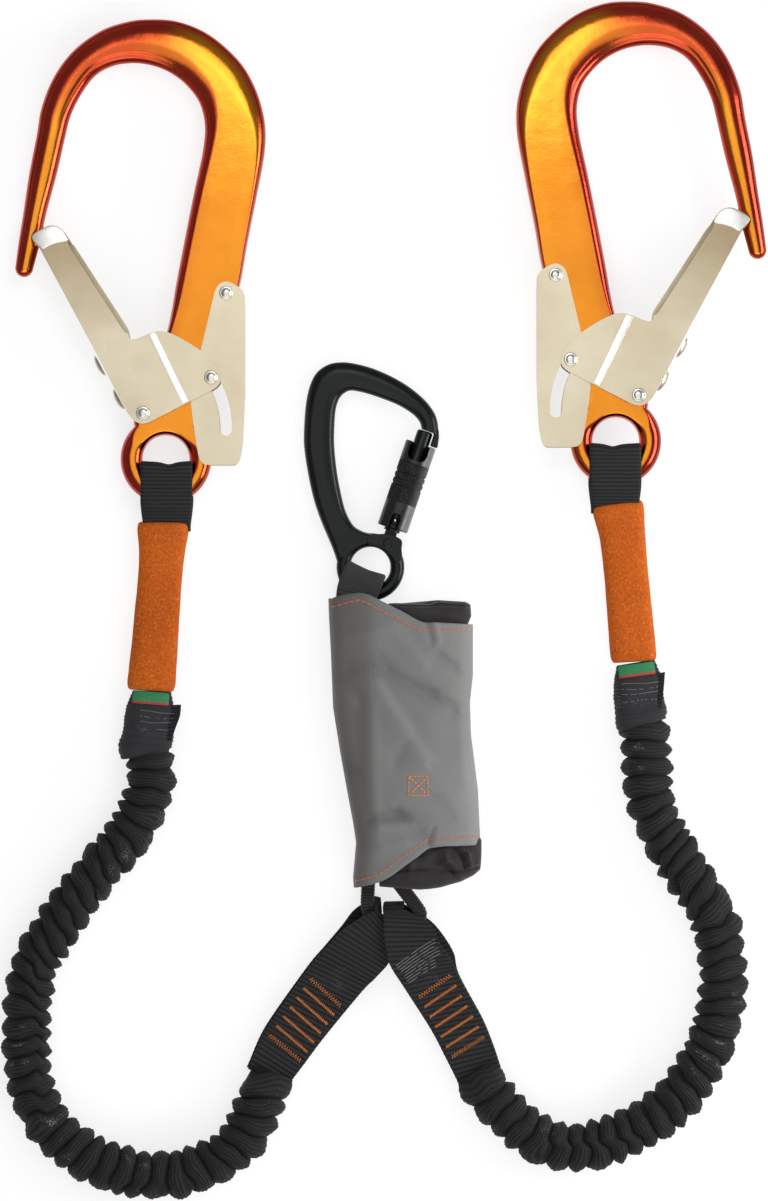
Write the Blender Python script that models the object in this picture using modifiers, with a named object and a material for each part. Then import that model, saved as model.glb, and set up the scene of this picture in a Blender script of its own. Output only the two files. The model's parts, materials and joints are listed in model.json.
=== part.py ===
# Energy absorbing y-lanyard, laid flat: a sewn energy absorber in a wrap-round
# fabric cover, a captive-eye carabiner on its upper loop, and two elastic arms
# on its lower strap, each ending in a large scaffold hook.
#
# Frame: +X right and +Y up in the plan, +Z out of the plan, origin on the flat
# underside of the cover.  The plan is drawn in half-millimetre squares, x to
# the right and y downwards, and P() turns a plan point into metres.

import math

import bmesh
import bpy
from mathutils import Matrix, Vector

# ------------------------------------------------------------------ dimensions
SQUARE = 0.0005                     # one plan square, 0.5 mm
PLAN_X0, PLAN_Y0 = 405.0, 740.0     # plan point that lies on the origin
MM = 0.001

HOOK_Z = 12.0 * MM                  # mid-plane of both hooks
HOOK_HALF = 6.5 * MM                # half thickness of the forged hook
LEVER_IN, LEVER_OUT = 6.8 * MM, 8.0 * MM     # safety lever plates
GATE_IN, GATE_OUT = 8.3 * MM, 9.8 * MM       # gate plates
EYE = (166.0, 459.0)                # hook eye centre, plan
EYE_HOLE, EYE_RIM = 11.65 * MM, 22.75 * MM
GATE_PIVOT = (143.7, 413.6)
LOCK_PIN = (211.5, 377.9)
LEVER_PIVOT = (226.5, 293.6)
GATE_OPEN = math.radians(40)
LEVER_RATIO = 0.08                  # lever angle per gate angle
RIVET_HEAD = 3.4 * MM
MIRROR_X, MIRROR_DY = 781.7, -18.0  # the right hook mirrors the left one

BUNGEE_R = 12.4 * MM                # elastic arm
BUNGEE_Z = 12.8 * MM
LOOP_FLEX_Y = 519.0                 # plan y of the flex line of a hook loop
WEB = 2.2 * MM                      # one layer of webbing

RING = (370.4, 567.0)               # carabiner captive eye, plan
RING_HOLE, RING_RIM = 10.0 * MM, 17.0 * MM
CARAB_Z = 9.5 * MM
CARAB_HALF = 4.6 * MM
RING_HALF = 4.0 * MM
CARAB_PIVOT = (387.5, 543.0)
GATE_TOP = (425.5, 431.0)           # end of the carabiner gate's axis
TOP_FLEX_Y = 612.0

COVER_T = 1.2 * MM
STRAP_LO, STRAP_HI = 5.3 * MM, 13.8 * MM


def P(x, y):
    """A plan point in metres."""
    return ((x - PLAN_X0) * SQUARE, (PLAN_Y0 - y) * SQUARE)


def P3(x, y, z):
    px, py = P(x, y)
    return Vector((px, py, z))


# ----------------------------------------------------------------- scene setup
for old in list(bpy.data.objects):
    bpy.data.objects.remove(old, do_unlink=True)

parts = bpy.data.collections.new("energy_absorbing_y_lanyard")
cutters = bpy.data.collections.new("cutters")
bpy.context.scene.collection.children.link(parts)
bpy.context.scene.collection.children.link(cutters)

_materials = {}


def material(name, colour, roughness, metallic=0.0):
    if name not in _materials:
        m = bpy.data.materials.new(name)
        m.use_nodes = True
        shader = m.node_tree.nodes["Principled BSDF"]
        shader.inputs["Base Color"].default_value = (*colour, 1.0)
        shader.inputs["Roughness"].default_value = roughness
        shader.inputs["Metallic"].default_value = metallic
        _materials[name] = m
    return _materials[name]


ORANGE_METAL = ("anodised_orange", (0.80, 0.28, 0.03), 0.32, 1.0)
NICKEL = ("nickel_sheet", (0.70, 0.64, 0.52), 0.30, 1.0)
STEEL = ("bright_steel", (0.62, 0.60, 0.56), 0.25, 1.0)
SPRING = ("spring_steel", (0.45, 0.45, 0.46), 0.35, 1.0)
BLACK_METAL = ("black_anodised", (0.012, 0.014, 0.014), 0.30, 1.0)
BLACK_WEB = ("black_webbing", (0.020, 0.020, 0.022), 0.85, 0.0)
ORANGE_FABRIC = ("orange_fabric", (0.60, 0.13, 0.015), 0.80, 0.0)
GREEN = ("green_label", (0.010, 0.19, 0.05), 0.70, 0.0)
BLACK_FABRIC = ("black_fabric", (0.026, 0.022, 0.024), 0.90, 0.0)
GREY_FABRIC = ("grey_cover_fabric", (0.18, 0.18, 0.175), 0.85, 0.0)
ELASTIC = ("black_elastic", (0.018, 0.018, 0.019), 0.80, 0.0)


# -------------------------------------------------------------------- builders
def new_object(name, mesh, mat, collection=None):
    obj = bpy.data.objects.new(name, mesh)
    (collection or parts).objects.link(obj)
    if mat is not None:
        mesh.materials.clear()
        mesh.materials.append(material(*mat))
    return obj


def tidy(mesh, merge=0.00002):
    bm = bmesh.new()
    bm.from_mesh(mesh)
    bmesh.ops.remove_doubles(bm, verts=bm.verts, dist=merge)
    bmesh.ops.dissolve_degenerate(bm, dist=0.000005, edges=bm.edges)
    bmesh.ops.recalc_face_normals(bm, faces=bm.faces)
    bm.to_mesh(mesh)
    bm.free()
    return mesh


def curve_mesh(name, curve):
    """The mesh of a curve, with its caps welded on."""
    obj = bpy.data.objects.new(name + "_curve", curve)
    bpy.context.scene.collection.objects.link(obj)
    bpy.context.view_layer.update()
    deps = bpy.context.evaluated_depsgraph_get()
    mesh = bpy.data.meshes.new_from_object(obj.evaluated_get(deps))
    bpy.data.objects.remove(obj, do_unlink=True)
    bpy.data.curves.remove(curve)
    mesh.name = name
    return tidy(mesh)


def outline_mesh(name, loops, low, high, matrix=None):
    """A flat outline, with holes where later loops lie inside the first,
    thick from low to high.  Loops are lists of points in metres."""
    curve = bpy.data.curves.new(name, "CURVE")
    curve.dimensions = "2D"
    curve.fill_mode = "BOTH"
    curve.extrude = (high - low) / 2
    for pts in loops:
        spline = curve.splines.new("POLY")
        spline.points.add(len(pts) - 1)
        for point, (x, y) in zip(spline.points, pts):
            point.co = (x, y, 0.0, 1.0)
        spline.use_cyclic_u = True
    mesh = curve_mesh(name, curve)
    mesh.transform(Matrix.Translation((0, 0, (low + high) / 2)))
    if matrix is not None:
        mesh.transform(matrix)
        tidy(mesh)
    return mesh


def smooth_round(mesh, degrees=35):
    mesh.shade_smooth()
    mesh.set_sharp_from_angle(angle=math.radians(degrees))


def circle(centre, radius, count=32, start=0.0, end=2 * math.pi):
    full = abs(end - start) >= 2 * math.pi - 1e-6
    steps = count if full else count + 1
    return [(centre[0] + radius * math.cos(start + (end - start) * i / count),
             centre[1] + radius * math.sin(start + (end - start) * i / count))
            for i in range(steps)]


def cut(obj, cutter_mesh, name, operation="DIFFERENCE"):
    cutter = new_object(name, cutter_mesh, None, cutters)
    cutter.hide_render = True
    cutter.display_type = "WIRE"
    mod = obj.modifiers.new(name, "BOOLEAN")
    mod.operation = operation
    mod.object = cutter
    mod.solver = "EXACT"
    return mod


def bevel(obj, width, segments=2, angle=50):
    mod = obj.modifiers.new("rounded_edges", "BEVEL")
    mod.width = width
    mod.segments = segments
    mod.limit_method = "ANGLE"
    mod.angle_limit = math.radians(angle)
    return mod


def smooth_path(points, count):
    """count points evenly spaced on a smooth curve through the given ones."""
    pts = [Vector(p) for p in points]
    dense = []
    for i in range(len(pts) - 1):
        p0 = pts[i - 1] if i else 2 * pts[0] - pts[1]
        p1, p2 = pts[i], pts[i + 1]
        p3 = pts[i + 2] if i + 2 < len(pts) else 2 * pts[-1] - pts[-2]
        for k in range(12):
            t = k / 12
            dense.append(0.5 * (2 * p1 + (p2 - p0) * t
                                + (2 * p0 - 5 * p1 + 4 * p2 - p3) * t * t
                                + (3 * p1 - p0 - 3 * p2 + p3) * t ** 3))
    dense.append(pts[-1])
    run = [0.0]
    for a, b in zip(dense, dense[1:]):
        run.append(run[-1] + (b - a).length)
    out, j = [], 0
    for i in range(count):
        want = run[-1] * i / (count - 1)
        while j < len(run) - 2 and run[j + 1] < want:
            j += 1
        span = run[j + 1] - run[j]
        f = 0 if span == 0 else (want - run[j]) / span
        out.append(dense[j].lerp(dense[j + 1], f))
    return out


def tube_mesh(name, points, radius, resolution=2):
    curve = bpy.data.curves.new(name, "CURVE")
    curve.dimensions = "3D"
    curve.bevel_depth = radius
    curve.bevel_resolution = resolution
    curve.use_fill_caps = True
    spline = curve.splines.new("POLY")
    spline.points.add(len(points) - 1)
    for point, co in zip(spline.points, points):
        point.co = (*co, 1.0)
    return curve_mesh(name, curve)


def loft_mesh(name, rings):
    """A closed solid through rings of equal point counts, capped at both ends."""
    bm = bmesh.new()
    rows = [[bm.verts.new(p) for p in ring] for ring in rings]
    n = len(rows[0])
    for a, b in zip(rows, rows[1:]):
        for i in range(n):
            bm.faces.new((a[i], a[(i + 1) % n], b[(i + 1) % n], b[i]))
    bm.faces.new(rows[0])
    bm.faces.new(list(reversed(rows[-1])))
    bmesh.ops.triangulate(bm, faces=bm.faces)
    bmesh.ops.recalc_face_normals(bm, faces=bm.faces)
    mesh = bpy.data.meshes.new(name)
    bm.to_mesh(mesh)
    bm.free()
    return mesh


def tunnel_mesh(name, outer, inner):
    """A tube with walls: matching outer and inner rings, open at both ends."""
    bm = bmesh.new()
    out = [[bm.verts.new(p) for p in ring] for ring in outer]
    inn = [[bm.verts.new(p) for p in ring] for ring in inner]
    n = len(out[0])
    for rows in (out, inn):
        for a, b in zip(rows, rows[1:]):
            for i in range(n):
                bm.faces.new((a[i], a[(i + 1) % n], b[(i + 1) % n], b[i]))
    for a, b in ((out[0], inn[0]), (out[-1], inn[-1])):
        for i in range(n):
            bm.faces.new((a[i], a[(i + 1) % n], b[(i + 1) % n], b[i]))
    bmesh.ops.recalc_face_normals(bm, faces=bm.faces)
    mesh = bpy.data.meshes.new(name)
    bm.to_mesh(mesh)
    bm.free()
    return mesh


def turned_mesh(name, profile, steps=16, matrix=None):
    """A solid of revolution about Z: profile is (radius, z) from top to bottom."""
    mesh = bpy.data.meshes.new(name)
    bm = bmesh.new()
    verts = [bm.verts.new((r, 0, z)) for r, z in profile]
    for a, b in zip(verts, verts[1:]):
        bm.edges.new((a, b))
    bm.to_mesh(mesh)
    bm.free()
    obj = bpy.data.objects.new(name, mesh)
    bpy.context.scene.collection.objects.link(obj)
    mod = obj.modifiers.new("turned", "SCREW")
    mod.steps = mod.render_steps = steps
    mod.use_merge_vertices = True
    mod.merge_threshold = 0.00001
    bpy.context.view_layer.update()
    deps = bpy.context.evaluated_depsgraph_get()
    out = bpy.data.meshes.new_from_object(obj.evaluated_get(deps))
    bpy.data.objects.remove(obj, do_unlink=True)
    bpy.data.meshes.remove(mesh)
    out.name = name
    if matrix is not None:
        out.transform(matrix)
    tidy(out, 0.00001)
    smooth_round(out)
    return out


def ribbon(points, half, cap=6):
    """The outline of a strip of half-width half along plan points in metres,
    with round ends when cap is above 0."""
    pts = [Vector((*p, 0)) for p in points]
    left, right = [], []
    for i, p in enumerate(pts):
        d = (pts[min(i + 1, len(pts) - 1)] - pts[max(i - 1, 0)]).normalized()
        n = Vector((-d.y, d.x, 0))
        left.append(p + n * half)
        right.append(p - n * half)
    out = [(v.x, v.y) for v in left]
    if cap:
        d = (pts[-1] - pts[-2]).normalized()
        a = math.atan2(d.y, d.x)
        out += circle((pts[-1].x, pts[-1].y), half, cap, a + math.pi / 2, a - math.pi / 2)[1:-1]
    out += [(v.x, v.y) for v in reversed(right)]
    if cap:
        d = (pts[0] - pts[1]).normalized()
        a = math.atan2(d.y, d.x)
        out += circle((pts[0].x, pts[0].y), half, cap, a + math.pi / 2, a - math.pi / 2)[1:-1]
    return out


def rivet_profile(shank, head, inner, outer):
    """Half profile of a rivet about the mid-plane: shank through, a domed head
    outside each plate."""
    top = [(0.0, outer), (head * 0.62, outer - 0.35 * MM), (head, inner + 0.3 * MM), (head, inner)]
    low = [(r, -z) for r, z in reversed(top)]
    return top + [(shank, inner), (shank, -inner)] + low


def set_pivot(obj, point):
    """Moves an object's origin to its joint axis without moving its shape."""
    obj.data.transform(Matrix.Translation(-Vector(point)))
    obj.location = point


def super_ring(centre, across, half_w, half_h, count=16, power=0.72):
    """A rounded flat section: centre, unit vector across, and Z up."""
    out = []
    for i in range(count):
        a = 2 * math.pi * i / count
        c, s = math.cos(a), math.sin(a)
        u = math.copysign(abs(c) ** power, c) * half_w
        v = math.copysign(abs(s) ** power, s) * half_h
        out.append(Vector(centre) + Vector(across) * u + Vector((0, 0, v)))
    return out


# ------------------------------------------------------------- scaffold hooks
def rotate_about(point, centre, angle):
    """A plan point turned counter-clockwise (seen from above) about a centre."""
    x, y = point[0] - centre[0], -(point[1] - centre[1])
    c, s = math.cos(angle), math.sin(angle)
    return (centre[0] + x * c - y * s, centre[1] - (x * s + y * c))


HOOK_OUTER = [
    (15.0, 268.5), (16.0, 262.0), (23.0, 214.3), (29.0, 174.5), (36.7, 131.6),
    (41.3, 104.0), (53.6, 76.5), (73.5, 50.5), (101.0, 30.6), (128.6, 21.4),
    (150.0, 19.3), (174.5, 20.8), (199.0, 29.0), (220.4, 42.9), (241.8, 64.3),
    (255.6, 88.8), (263.3, 113.3), (265.7, 134.7), (263.9, 159.2), (257.0, 196.0),
    (248.0, 241.8), (240.3, 284.7), (238.5, 293.0), (232.0, 305.0), (226.0, 320.0),
    (214.0, 348.0), (203.0, 368.0), (200.0, 380.0), (202.0, 400.0), (204.0, 420.0),
    (207.3, 440.0)]
HOOK_INNER = [
    (125.0, 443.0), (131.0, 430.0), (133.2, 419.0), (135.0, 410.0), (141.0, 398.0),
    (150.0, 375.0), (160.0, 350.0), (167.8, 330.6), (177.5, 275.5), (186.0, 232.7),
    (195.9, 183.7), (203.6, 146.9), (204.5, 122.4), (198.4, 101.0), (186.7, 85.7),
    (171.4, 73.5), (153.0, 65.8), (131.6, 63.4), (113.3, 65.8), (94.9, 76.5),
    (82.7, 91.8), (70.4, 116.3), (65.2, 137.8), (57.6, 171.4), (47.3, 210.0),
    (43.75, 227.9), (38.8, 249.3), (33.9, 267.0), (30.5, 273.5), (23.7, 277.3),
    (18.0, 275.0)]
GATE_OUTLINE = [
    (31.7, 239.0), (33.9, 235.0), (46.4, 227.9), (52.7, 226.0), (60.7, 228.3),
    (66.0, 234.0), (71.4, 243.5), (73.2, 244.4), (128.6, 329.6), (129.4, 337.3),
    (131.8, 340.3), (137.3, 339.7), (148.2, 334.8), (157.9, 331.8), (165.1, 331.8),
    (174.8, 335.4), (187.0, 342.0), (200.3, 350.6), (211.2, 359.7), (219.6, 370.6),
    (222.0, 381.5), (217.2, 388.2), (147.0, 424.5), (138.5, 423.9), (132.4, 419.0),
    (128.8, 414.8), (95.0, 350.0), (40.6, 249.2), (38.4, 247.0)]
GATE_CHANNEL = [
    (43.6, 247.8), (97.8, 348.5), (127.0, 404.5), (113.0, 412.0), (113.0, 445.0),
    (245.0, 445.0), (245.0, 210.0), (10.0, 210.0), (10.0, 262.0)]
LEVER_OUTLINE = [
    (215.7, 290.0), (219.0, 285.0), (225.9, 281.3), (236.0, 285.5), (244.4, 292.1),
    (245.0, 310.0), (245.0, 395.0), (242.7, 443.3), (240.5, 457.0), (237.0, 465.5),
    (205.5, 465.2), (202.0, 463.0), (199.7, 459.0), (197.8, 449.3), (193.0, 419.0),
    (191.4, 402.4), (193.0, 378.0), (201.0, 351.4)]
LEVER_CHANNEL = [
    (150.0, 270.0), (262.0, 270.0), (262.0, 294.0), (242.2, 297.0), (242.2, 395.0),
    (239.9, 442.5), (237.8, 455.0), (233.0, 480.0), (150.0, 480.0)]


def build_hook(side):
    right = side == "right"

    def plan(x, y):
        return P(MIRROR_X - x, y + MIRROR_DY) if right else P(x, y)

    def plan3(point, z):
        x, y = plan(*point)
        return Vector((x, y, z))

    turn = 1 if right else -1       # sense about +Z in which the gate opens
    eye = plan(*EYE)
    z = HOOK_Z

    # Forged body: one flat forging, its eye a plain ring.
    rim = []
    for i in range(21):
        a = math.radians(24.5 - (24.5 + 180 + 21.5) * i / 20)
        rim.append((EYE[0] + 45.5 * math.cos(a), EYE[1] - 45.5 * math.sin(a)))
    outline = HOOK_OUTER + rim[1:-1] + HOOK_INNER
    mesh = outline_mesh(side + "_hook_body",
                        [[plan(*p) for p in outline], circle(eye, EYE_HOLE, 28)],
                        z - HOOK_HALF, z + HOOK_HALF)
    body = new_object(side + "_hook_body", mesh, ORANGE_METAL)
    bevel(body, 2.0 * MM, 1, 55)
    for point, radius, tag in ((GATE_PIVOT, 2.7 * MM, "gate"), (LEVER_PIVOT, 2.4 * MM, "lever")):
        bore = outline_mesh("bore", [circle(plan(*point), radius, 12)],
                            z - 12 * MM, z + 12 * MM)
        cut(body, bore, f"{side}_{tag}_pivot_bore")
        seat = outline_mesh("seat", [circle(plan(*point), 6.2 * MM, 16)],
                            z + 3.6 * MM, z + 9 * MM)
        cut(body, seat, f"{side}_{tag}_spring_seat")
    set_pivot(body, (*eye, z))

    # Gate: a folded sheet channel with its web outside, its ears over the nose.
    mesh = outline_mesh(side + "_gate_channel", [[plan(*p) for p in GATE_OUTLINE]],
                        z - GATE_OUT, z + GATE_OUT)
    gate = new_object(side + "_gate_channel", mesh, NICKEL)
    cut(gate, outline_mesh("inside", [[plan(*p) for p in GATE_CHANNEL]],
                           z - GATE_IN, z + GATE_IN), side + "_gate_inside")
    cut(gate, outline_mesh("bore", [circle(plan(*GATE_PIVOT), 2.7 * MM, 16)],
                           z - 12 * MM, z + 12 * MM), side + "_gate_bore")
    cut(gate, outline_mesh("bore", [circle(plan(*LOCK_PIN), 2.2 * MM, 16)],
                           z - 12 * MM, z + 12 * MM), side + "_lock_bore")
    pivot = plan3(GATE_PIVOT, z)
    set_pivot(gate, pivot)

    rivet = new_object(side + "_gate_pivot_rivet",
                       turned_mesh("rivet", rivet_profile(2.4 * MM, RIVET_HEAD, 10.1 * MM, 11.7 * MM), 12),
                       STEEL)
    rivet.location = pivot
    pin = new_object(side + "_lock_pin",
                     turned_mesh("pin", rivet_profile(1.9 * MM, RIVET_HEAD, 10.1 * MM, 11.7 * MM), 12),
                     STEEL)
    set_pivot(pin, (0, 0, 0))
    pin.data.transform(Matrix.Translation(plan3(LOCK_PIN, z) - pivot))
    pin.location = pivot

    # Gate return spring: a coil on the pivot, its leg along the web.
    coil = []
    turns, radius = 2.75, 4.4 * MM
    end = math.radians(208.4)
    for i in range(26):
        f = i / 25
        a = end + (1 - f) * turns * 2 * math.pi
        coil.append(Vector((radius * math.cos(a), radius * math.sin(a), (4.4 + 3.05 * f) * MM)))
    coil.append(coil[-1] + Vector((-0.475, 0.88, 0)) * 13 * MM)
    if right:
        coil = [Vector((-p.x, p.y, p.z)) for p in coil]
    spring = new_object(side + "_gate_spring",
                        tube_mesh("spring", [pivot + p for p in coil], 0.4 * MM, 1), SPRING)
    set_pivot(spring, pivot)

    # Safety lever behind the spine, inside the gate plates.
    mesh = outline_mesh(side + "_safety_lever", [[plan(*p) for p in LEVER_OUTLINE]],
                        z - LEVER_OUT, z + LEVER_OUT)
    lever = new_object(side + "_safety_lever", mesh, NICKEL)
    cut(lever, outline_mesh("inside", [[plan(*p) for p in LEVER_CHANNEL]],
                            z - LEVER_IN, z + LEVER_IN), side + "_lever_inside")
    cut(lever, outline_mesh("bore", [circle(plan(*LEVER_PIVOT), 2.4 * MM, 16)],
                            z - 10 * MM, z + 10 * MM), side + "_lever_bore")
    track = []
    for i in range(9):
        theta = GATE_OPEN * i / 8
        spot = rotate_about(LOCK_PIN, GATE_PIVOT, -theta)
        track.append(plan(*rotate_about(spot, LEVER_PIVOT, LEVER_RATIO * theta)))
    cut(lever, outline_mesh("slot", [ribbon(track, 3.0 * MM)], z - 10 * MM, z + 10 * MM),
        side + "_lever_slot")
    hinge = plan3(LEVER_PIVOT, z)
    set_pivot(lever, hinge)
    rivet = new_object(side + "_lever_pivot_rivet",
                       turned_mesh("rivet", rivet_profile(2.1 * MM, RIVET_HEAD, 8.3 * MM, 9.7 * MM), 12),
                       STEEL)
    rivet.location = hinge
    coil = []
    for i in range(15):
        f = i / 14
        a = (1 - f) * 1.6 * 2 * math.pi
        coil.append(Vector((4.4 * MM * math.cos(a), 4.4 * MM * math.sin(a), (4.4 + 1.6 * f) * MM)))
    coil.append(coil[-1] + Vector((0, -14 * MM, 0)))
    if right:
        coil = [Vector((-p.x, p.y, p.z)) for p in coil]
    spring = new_object(side + "_lever_spring",
                        tube_mesh("spring", [hinge + p for p in coil], 0.38 * MM, 1), SPRING)
    set_pivot(spring, hinge)
    return turn


build_hook("left")
build_hook("right")


# ---------------------------------------------------------------- webbing loop
def ring_loop(name, centre, z, hole, rim, ring_half, left, right, flex_y, flex_z, mat):
    """A sewn webbing loop round the lower rim of a ring: front and back layers
    joined by a trough through the hole and by the sewn part below."""
    cx, cy = P(*centre)
    fy = P(0, flex_y)[1]
    clear = 0.4 * MM
    half = ring_half + clear + WEB
    end = 2.6 * MM
    side_view = [(cy - 1.5 * MM, half), (cy - 1.5 * MM, -half),
                 (cy - rim - 0.6 * MM, -half), (fy + 0.9 * MM, -end)]
    side_view += [(fy - end * math.sin(math.radians(a)), -end * math.cos(math.radians(a)))
                  for a in range(15, 166, 30)]
    side_view += [(fy + 0.9 * MM, end), (cy - rim - 0.6 * MM, half)]
    # the outline is drawn in Y and Z, and stands along X
    swap = Matrix(((0, 0, 1, 0), (1, 0, 0, 0), (0, 1, 0, 0), (0, 0, 0, 1)))
    mesh = outline_mesh(name, [side_view], cx + left, cx + right,
                        Matrix.Translation((0, 0, z)) @ swap)
    if abs(flex_z - z) > 1e-9:
        for v in mesh.vertices:
            f = min(1.0, max(0.0, (cy - rim - v.co.y) / (cy - rim - fy)))
            v.co.z += (flex_z - z) * f
    obj = new_object(name, mesh, mat)
    ring = outline_mesh("ring_way", [circle((cx, cy), rim + clear, 40), circle((cx, cy), hole - clear, 32)],
                        z - ring_half - clear, z + ring_half + clear)
    cut(obj, ring, name + "_ring_way")
    inside = outline_mesh("inside", [circle((cx, cy), hole - clear - WEB, 28)],
                          z - ring_half - clear + 0.02 * MM, z + ring_half + clear - 0.02 * MM)
    cut(obj, inside, name + "_inside")
    set_pivot(obj, (cx, fy, flex_z))
    return obj


for side in ("left", "right"):
    centre = EYE if side == "left" else (MIRROR_X - EYE[0], EYE[1] + MIRROR_DY)
    low, high = (-12.5 * MM, 12.0 * MM) if side == "left" else (-12.0 * MM, 12.5 * MM)
    ring_loop(side + "_hook_loop", centre, HOOK_Z, EYE_HOLE, EYE_RIM, HOOK_HALF,
              low, high, LOOP_FLEX_Y + (0 if side == "left" else MIRROR_DY), HOOK_Z, BLACK_WEB)

top_loop = ring_loop("absorber_top_loop", RING, CARAB_Z, RING_HOLE, RING_RIM, RING_HALF,
                     -12.0 * MM, 8.0 * MM, TOP_FLEX_Y, CARAB_Z, BLACK_WEB)


# ------------------------------------------------------------------------ arms
ARM_STATIONS = {
    # plan centre, half width across (squares), for the sleeve from top to bottom
    "left": {
        "sleeve": [((163.5, 525.6), 25.5), ((161.6, 556.0), 22.3), ((159.0, 590.0), 22.0),
                   ((155.5, 635.0), 23.0), ((151.2, 686.0), 24.0)],
        "cuff": [((150.8, 691.0), 25.5), ((150.0, 712.0), 26.0), ((147.6, 734.0), 26.5),
                 ((146.6, 745.0), 26.5)]},
    "right": {
        "sleeve": [((618.2, 509.5), 25.5), ((622.5, 538.0), 22.6), ((626.0, 572.0), 22.2),
                   ((630.0, 617.0), 22.6), ((633.5, 660.0), 23.5)],
        "cuff": [((636.0, 665.5), 25.5), ((638.5, 686.0), 26.0), ((641.5, 706.0), 26.5),
                 ((643.0, 717.0), 26.5)]},
}
BUNGEE = {
    "left": [(147.8, 751.5), (150.5, 767), (150.6, 784), (147, 800), (140, 816), (129, 833),
             (118, 849), (104, 863), (93, 878), (79, 894), (66, 913), (53, 933), (40, 950),
             (32, 972), (28.5, 993), (26.5, 1013), (25.6, 1034), (26, 1056), (29, 1077),
             (34, 1094), (43, 1113), (54, 1131), (69, 1144), (88, 1157), (107, 1166),
             (128, 1172), (148, 1175), (170, 1175), (191, 1171), (214, 1162), (232, 1149),
             (246, 1132), (257, 1111), (268.4, 1080.8)],
    "right": [(643.4, 721.0), (645, 732), (646, 749), (647, 767), (648.5, 787), (653, 808),
              (660, 827), (669, 844), (679, 859), (688, 874), (698.5, 889), (707, 905),
              (715, 921), (719, 938), (721, 958), (723, 977), (722, 996), (719, 1016),
              (714, 1034), (707, 1052), (698, 1068), (689, 1082), (678, 1096), (665, 1108),
              (650, 1119), (632, 1130), (613, 1139), (594, 1145), (573, 1147), (554, 1144),
              (535, 1136), (517, 1122.5), (501, 1107.5), (489, 1093), (480.6, 1079.2)],
}


def across_of(stations, i):
    a = Vector(P(*stations[max(i - 1, 0)][0]))
    b = Vector(P(*stations[min(i + 1, len(stations) - 1)][0]))
    d = (b - a).normalized()
    return Vector((-d.y, d.x, 0))


def arm_rings(stations, shrink_w, heights, z):
    rings = []
    for i, (centre, half) in enumerate(stations):
        rings.append(super_ring(P3(*centre, z), across_of(stations, i),
                                half * SQUARE - shrink_w, heights[i], 20))
    return rings


for side in ("left", "right"):
    st = ARM_STATIONS[side]
    z = HOOK_Z
    wall = 1.2 * MM
    # protective tubular sleeve over the sewn webbing
    high = [4.8 * MM, 4.8 * MM, 4.8 * MM, 5.2 * MM, 5.6 * MM]
    outer = arm_rings(st["sleeve"], 0.0, high, z)
    inner = arm_rings(st["sleeve"], wall, [h - wall for h in high], z)
    mesh = tunnel_mesh(side + "_wear_sleeve", outer, inner)
    smooth_round(mesh)
    new_object(side + "_wear_sleeve", mesh, ORANGE_FABRIC)
    # webbing that runs down inside the sleeve into the cuff
    core_st = st["sleeve"] + [(st["cuff"][1][0], 24.0), (st["cuff"][2][0], 24.0)]
    core = []
    for i, (centre, half) in enumerate(core_st):
        core.append(super_ring(P3(*centre, z), across_of(core_st, i), 9.5 * MM, 2.4 * MM, 12, 0.5))
    core[0] = [p + Vector((0, -0.6 * MM, 0)) for p in core[0]]
    new_object(side + "_arm_webbing", loft_mesh(side + "_arm_webbing", core), BLACK_WEB)
    # cuff that gathers the elastic tube onto the webbing
    high = [5.6 * MM, 8.0 * MM, 10.5 * MM, 11.2 * MM]
    outer = arm_rings(st["cuff"], 0.0, high, z)
    inner = arm_rings(st["cuff"], 1.8 * MM, [h - 1.8 * MM for h in high], z)
    mesh = tunnel_mesh(side + "_cuff", outer, inner)
    smooth_round(mesh)
    new_object(side + "_cuff", mesh, BLACK_WEB)
    # colour label sewn across the front of the cuff
    a, b = (st["cuff"][0][0], st["cuff"][1][0])
    cen = Vector(P(*a)).lerp(Vector(P(*b)), 0.40)
    d = (Vector(P(*b)) - Vector(P(*a))).normalized()
    n = Vector((-d.y, d.x))
    hw, hl = 9.3 * MM, 3.1 * MM
    pts = [cen + n * sx * hw + d * sy * hl for sx, sy in ((-1, -1), (1, -1), (1, 1), (-1, 1))]
    mesh = outline_mesh(side + "_label_band", [[(p.x, p.y) for p in pts]], z, z + 0.8 * MM)
    run = (Vector(P(*b)) - Vector(P(*a))).length
    for v in mesh.vertices:         # it follows the slope of the cuff under it
        t = (v.co.to_2d() - Vector(P(*a))).dot(d) / run
        v.co.z += high[0] + (high[1] - high[0]) * t + 0.1 * MM
    new_object(side + "_label_band", mesh, GREEN)
    # elastic arm, laid on the surface in one open bend
    path = smooth_path([P3(*p, BUNGEE_Z) for p in BUNGEE[side]], 40)
    mesh = tube_mesh(side + "_elastic_arm", path, BUNGEE_R, 2)
    smooth_round(mesh)
    new_object(side + "_elastic_arm", mesh, ELASTIC)

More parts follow.
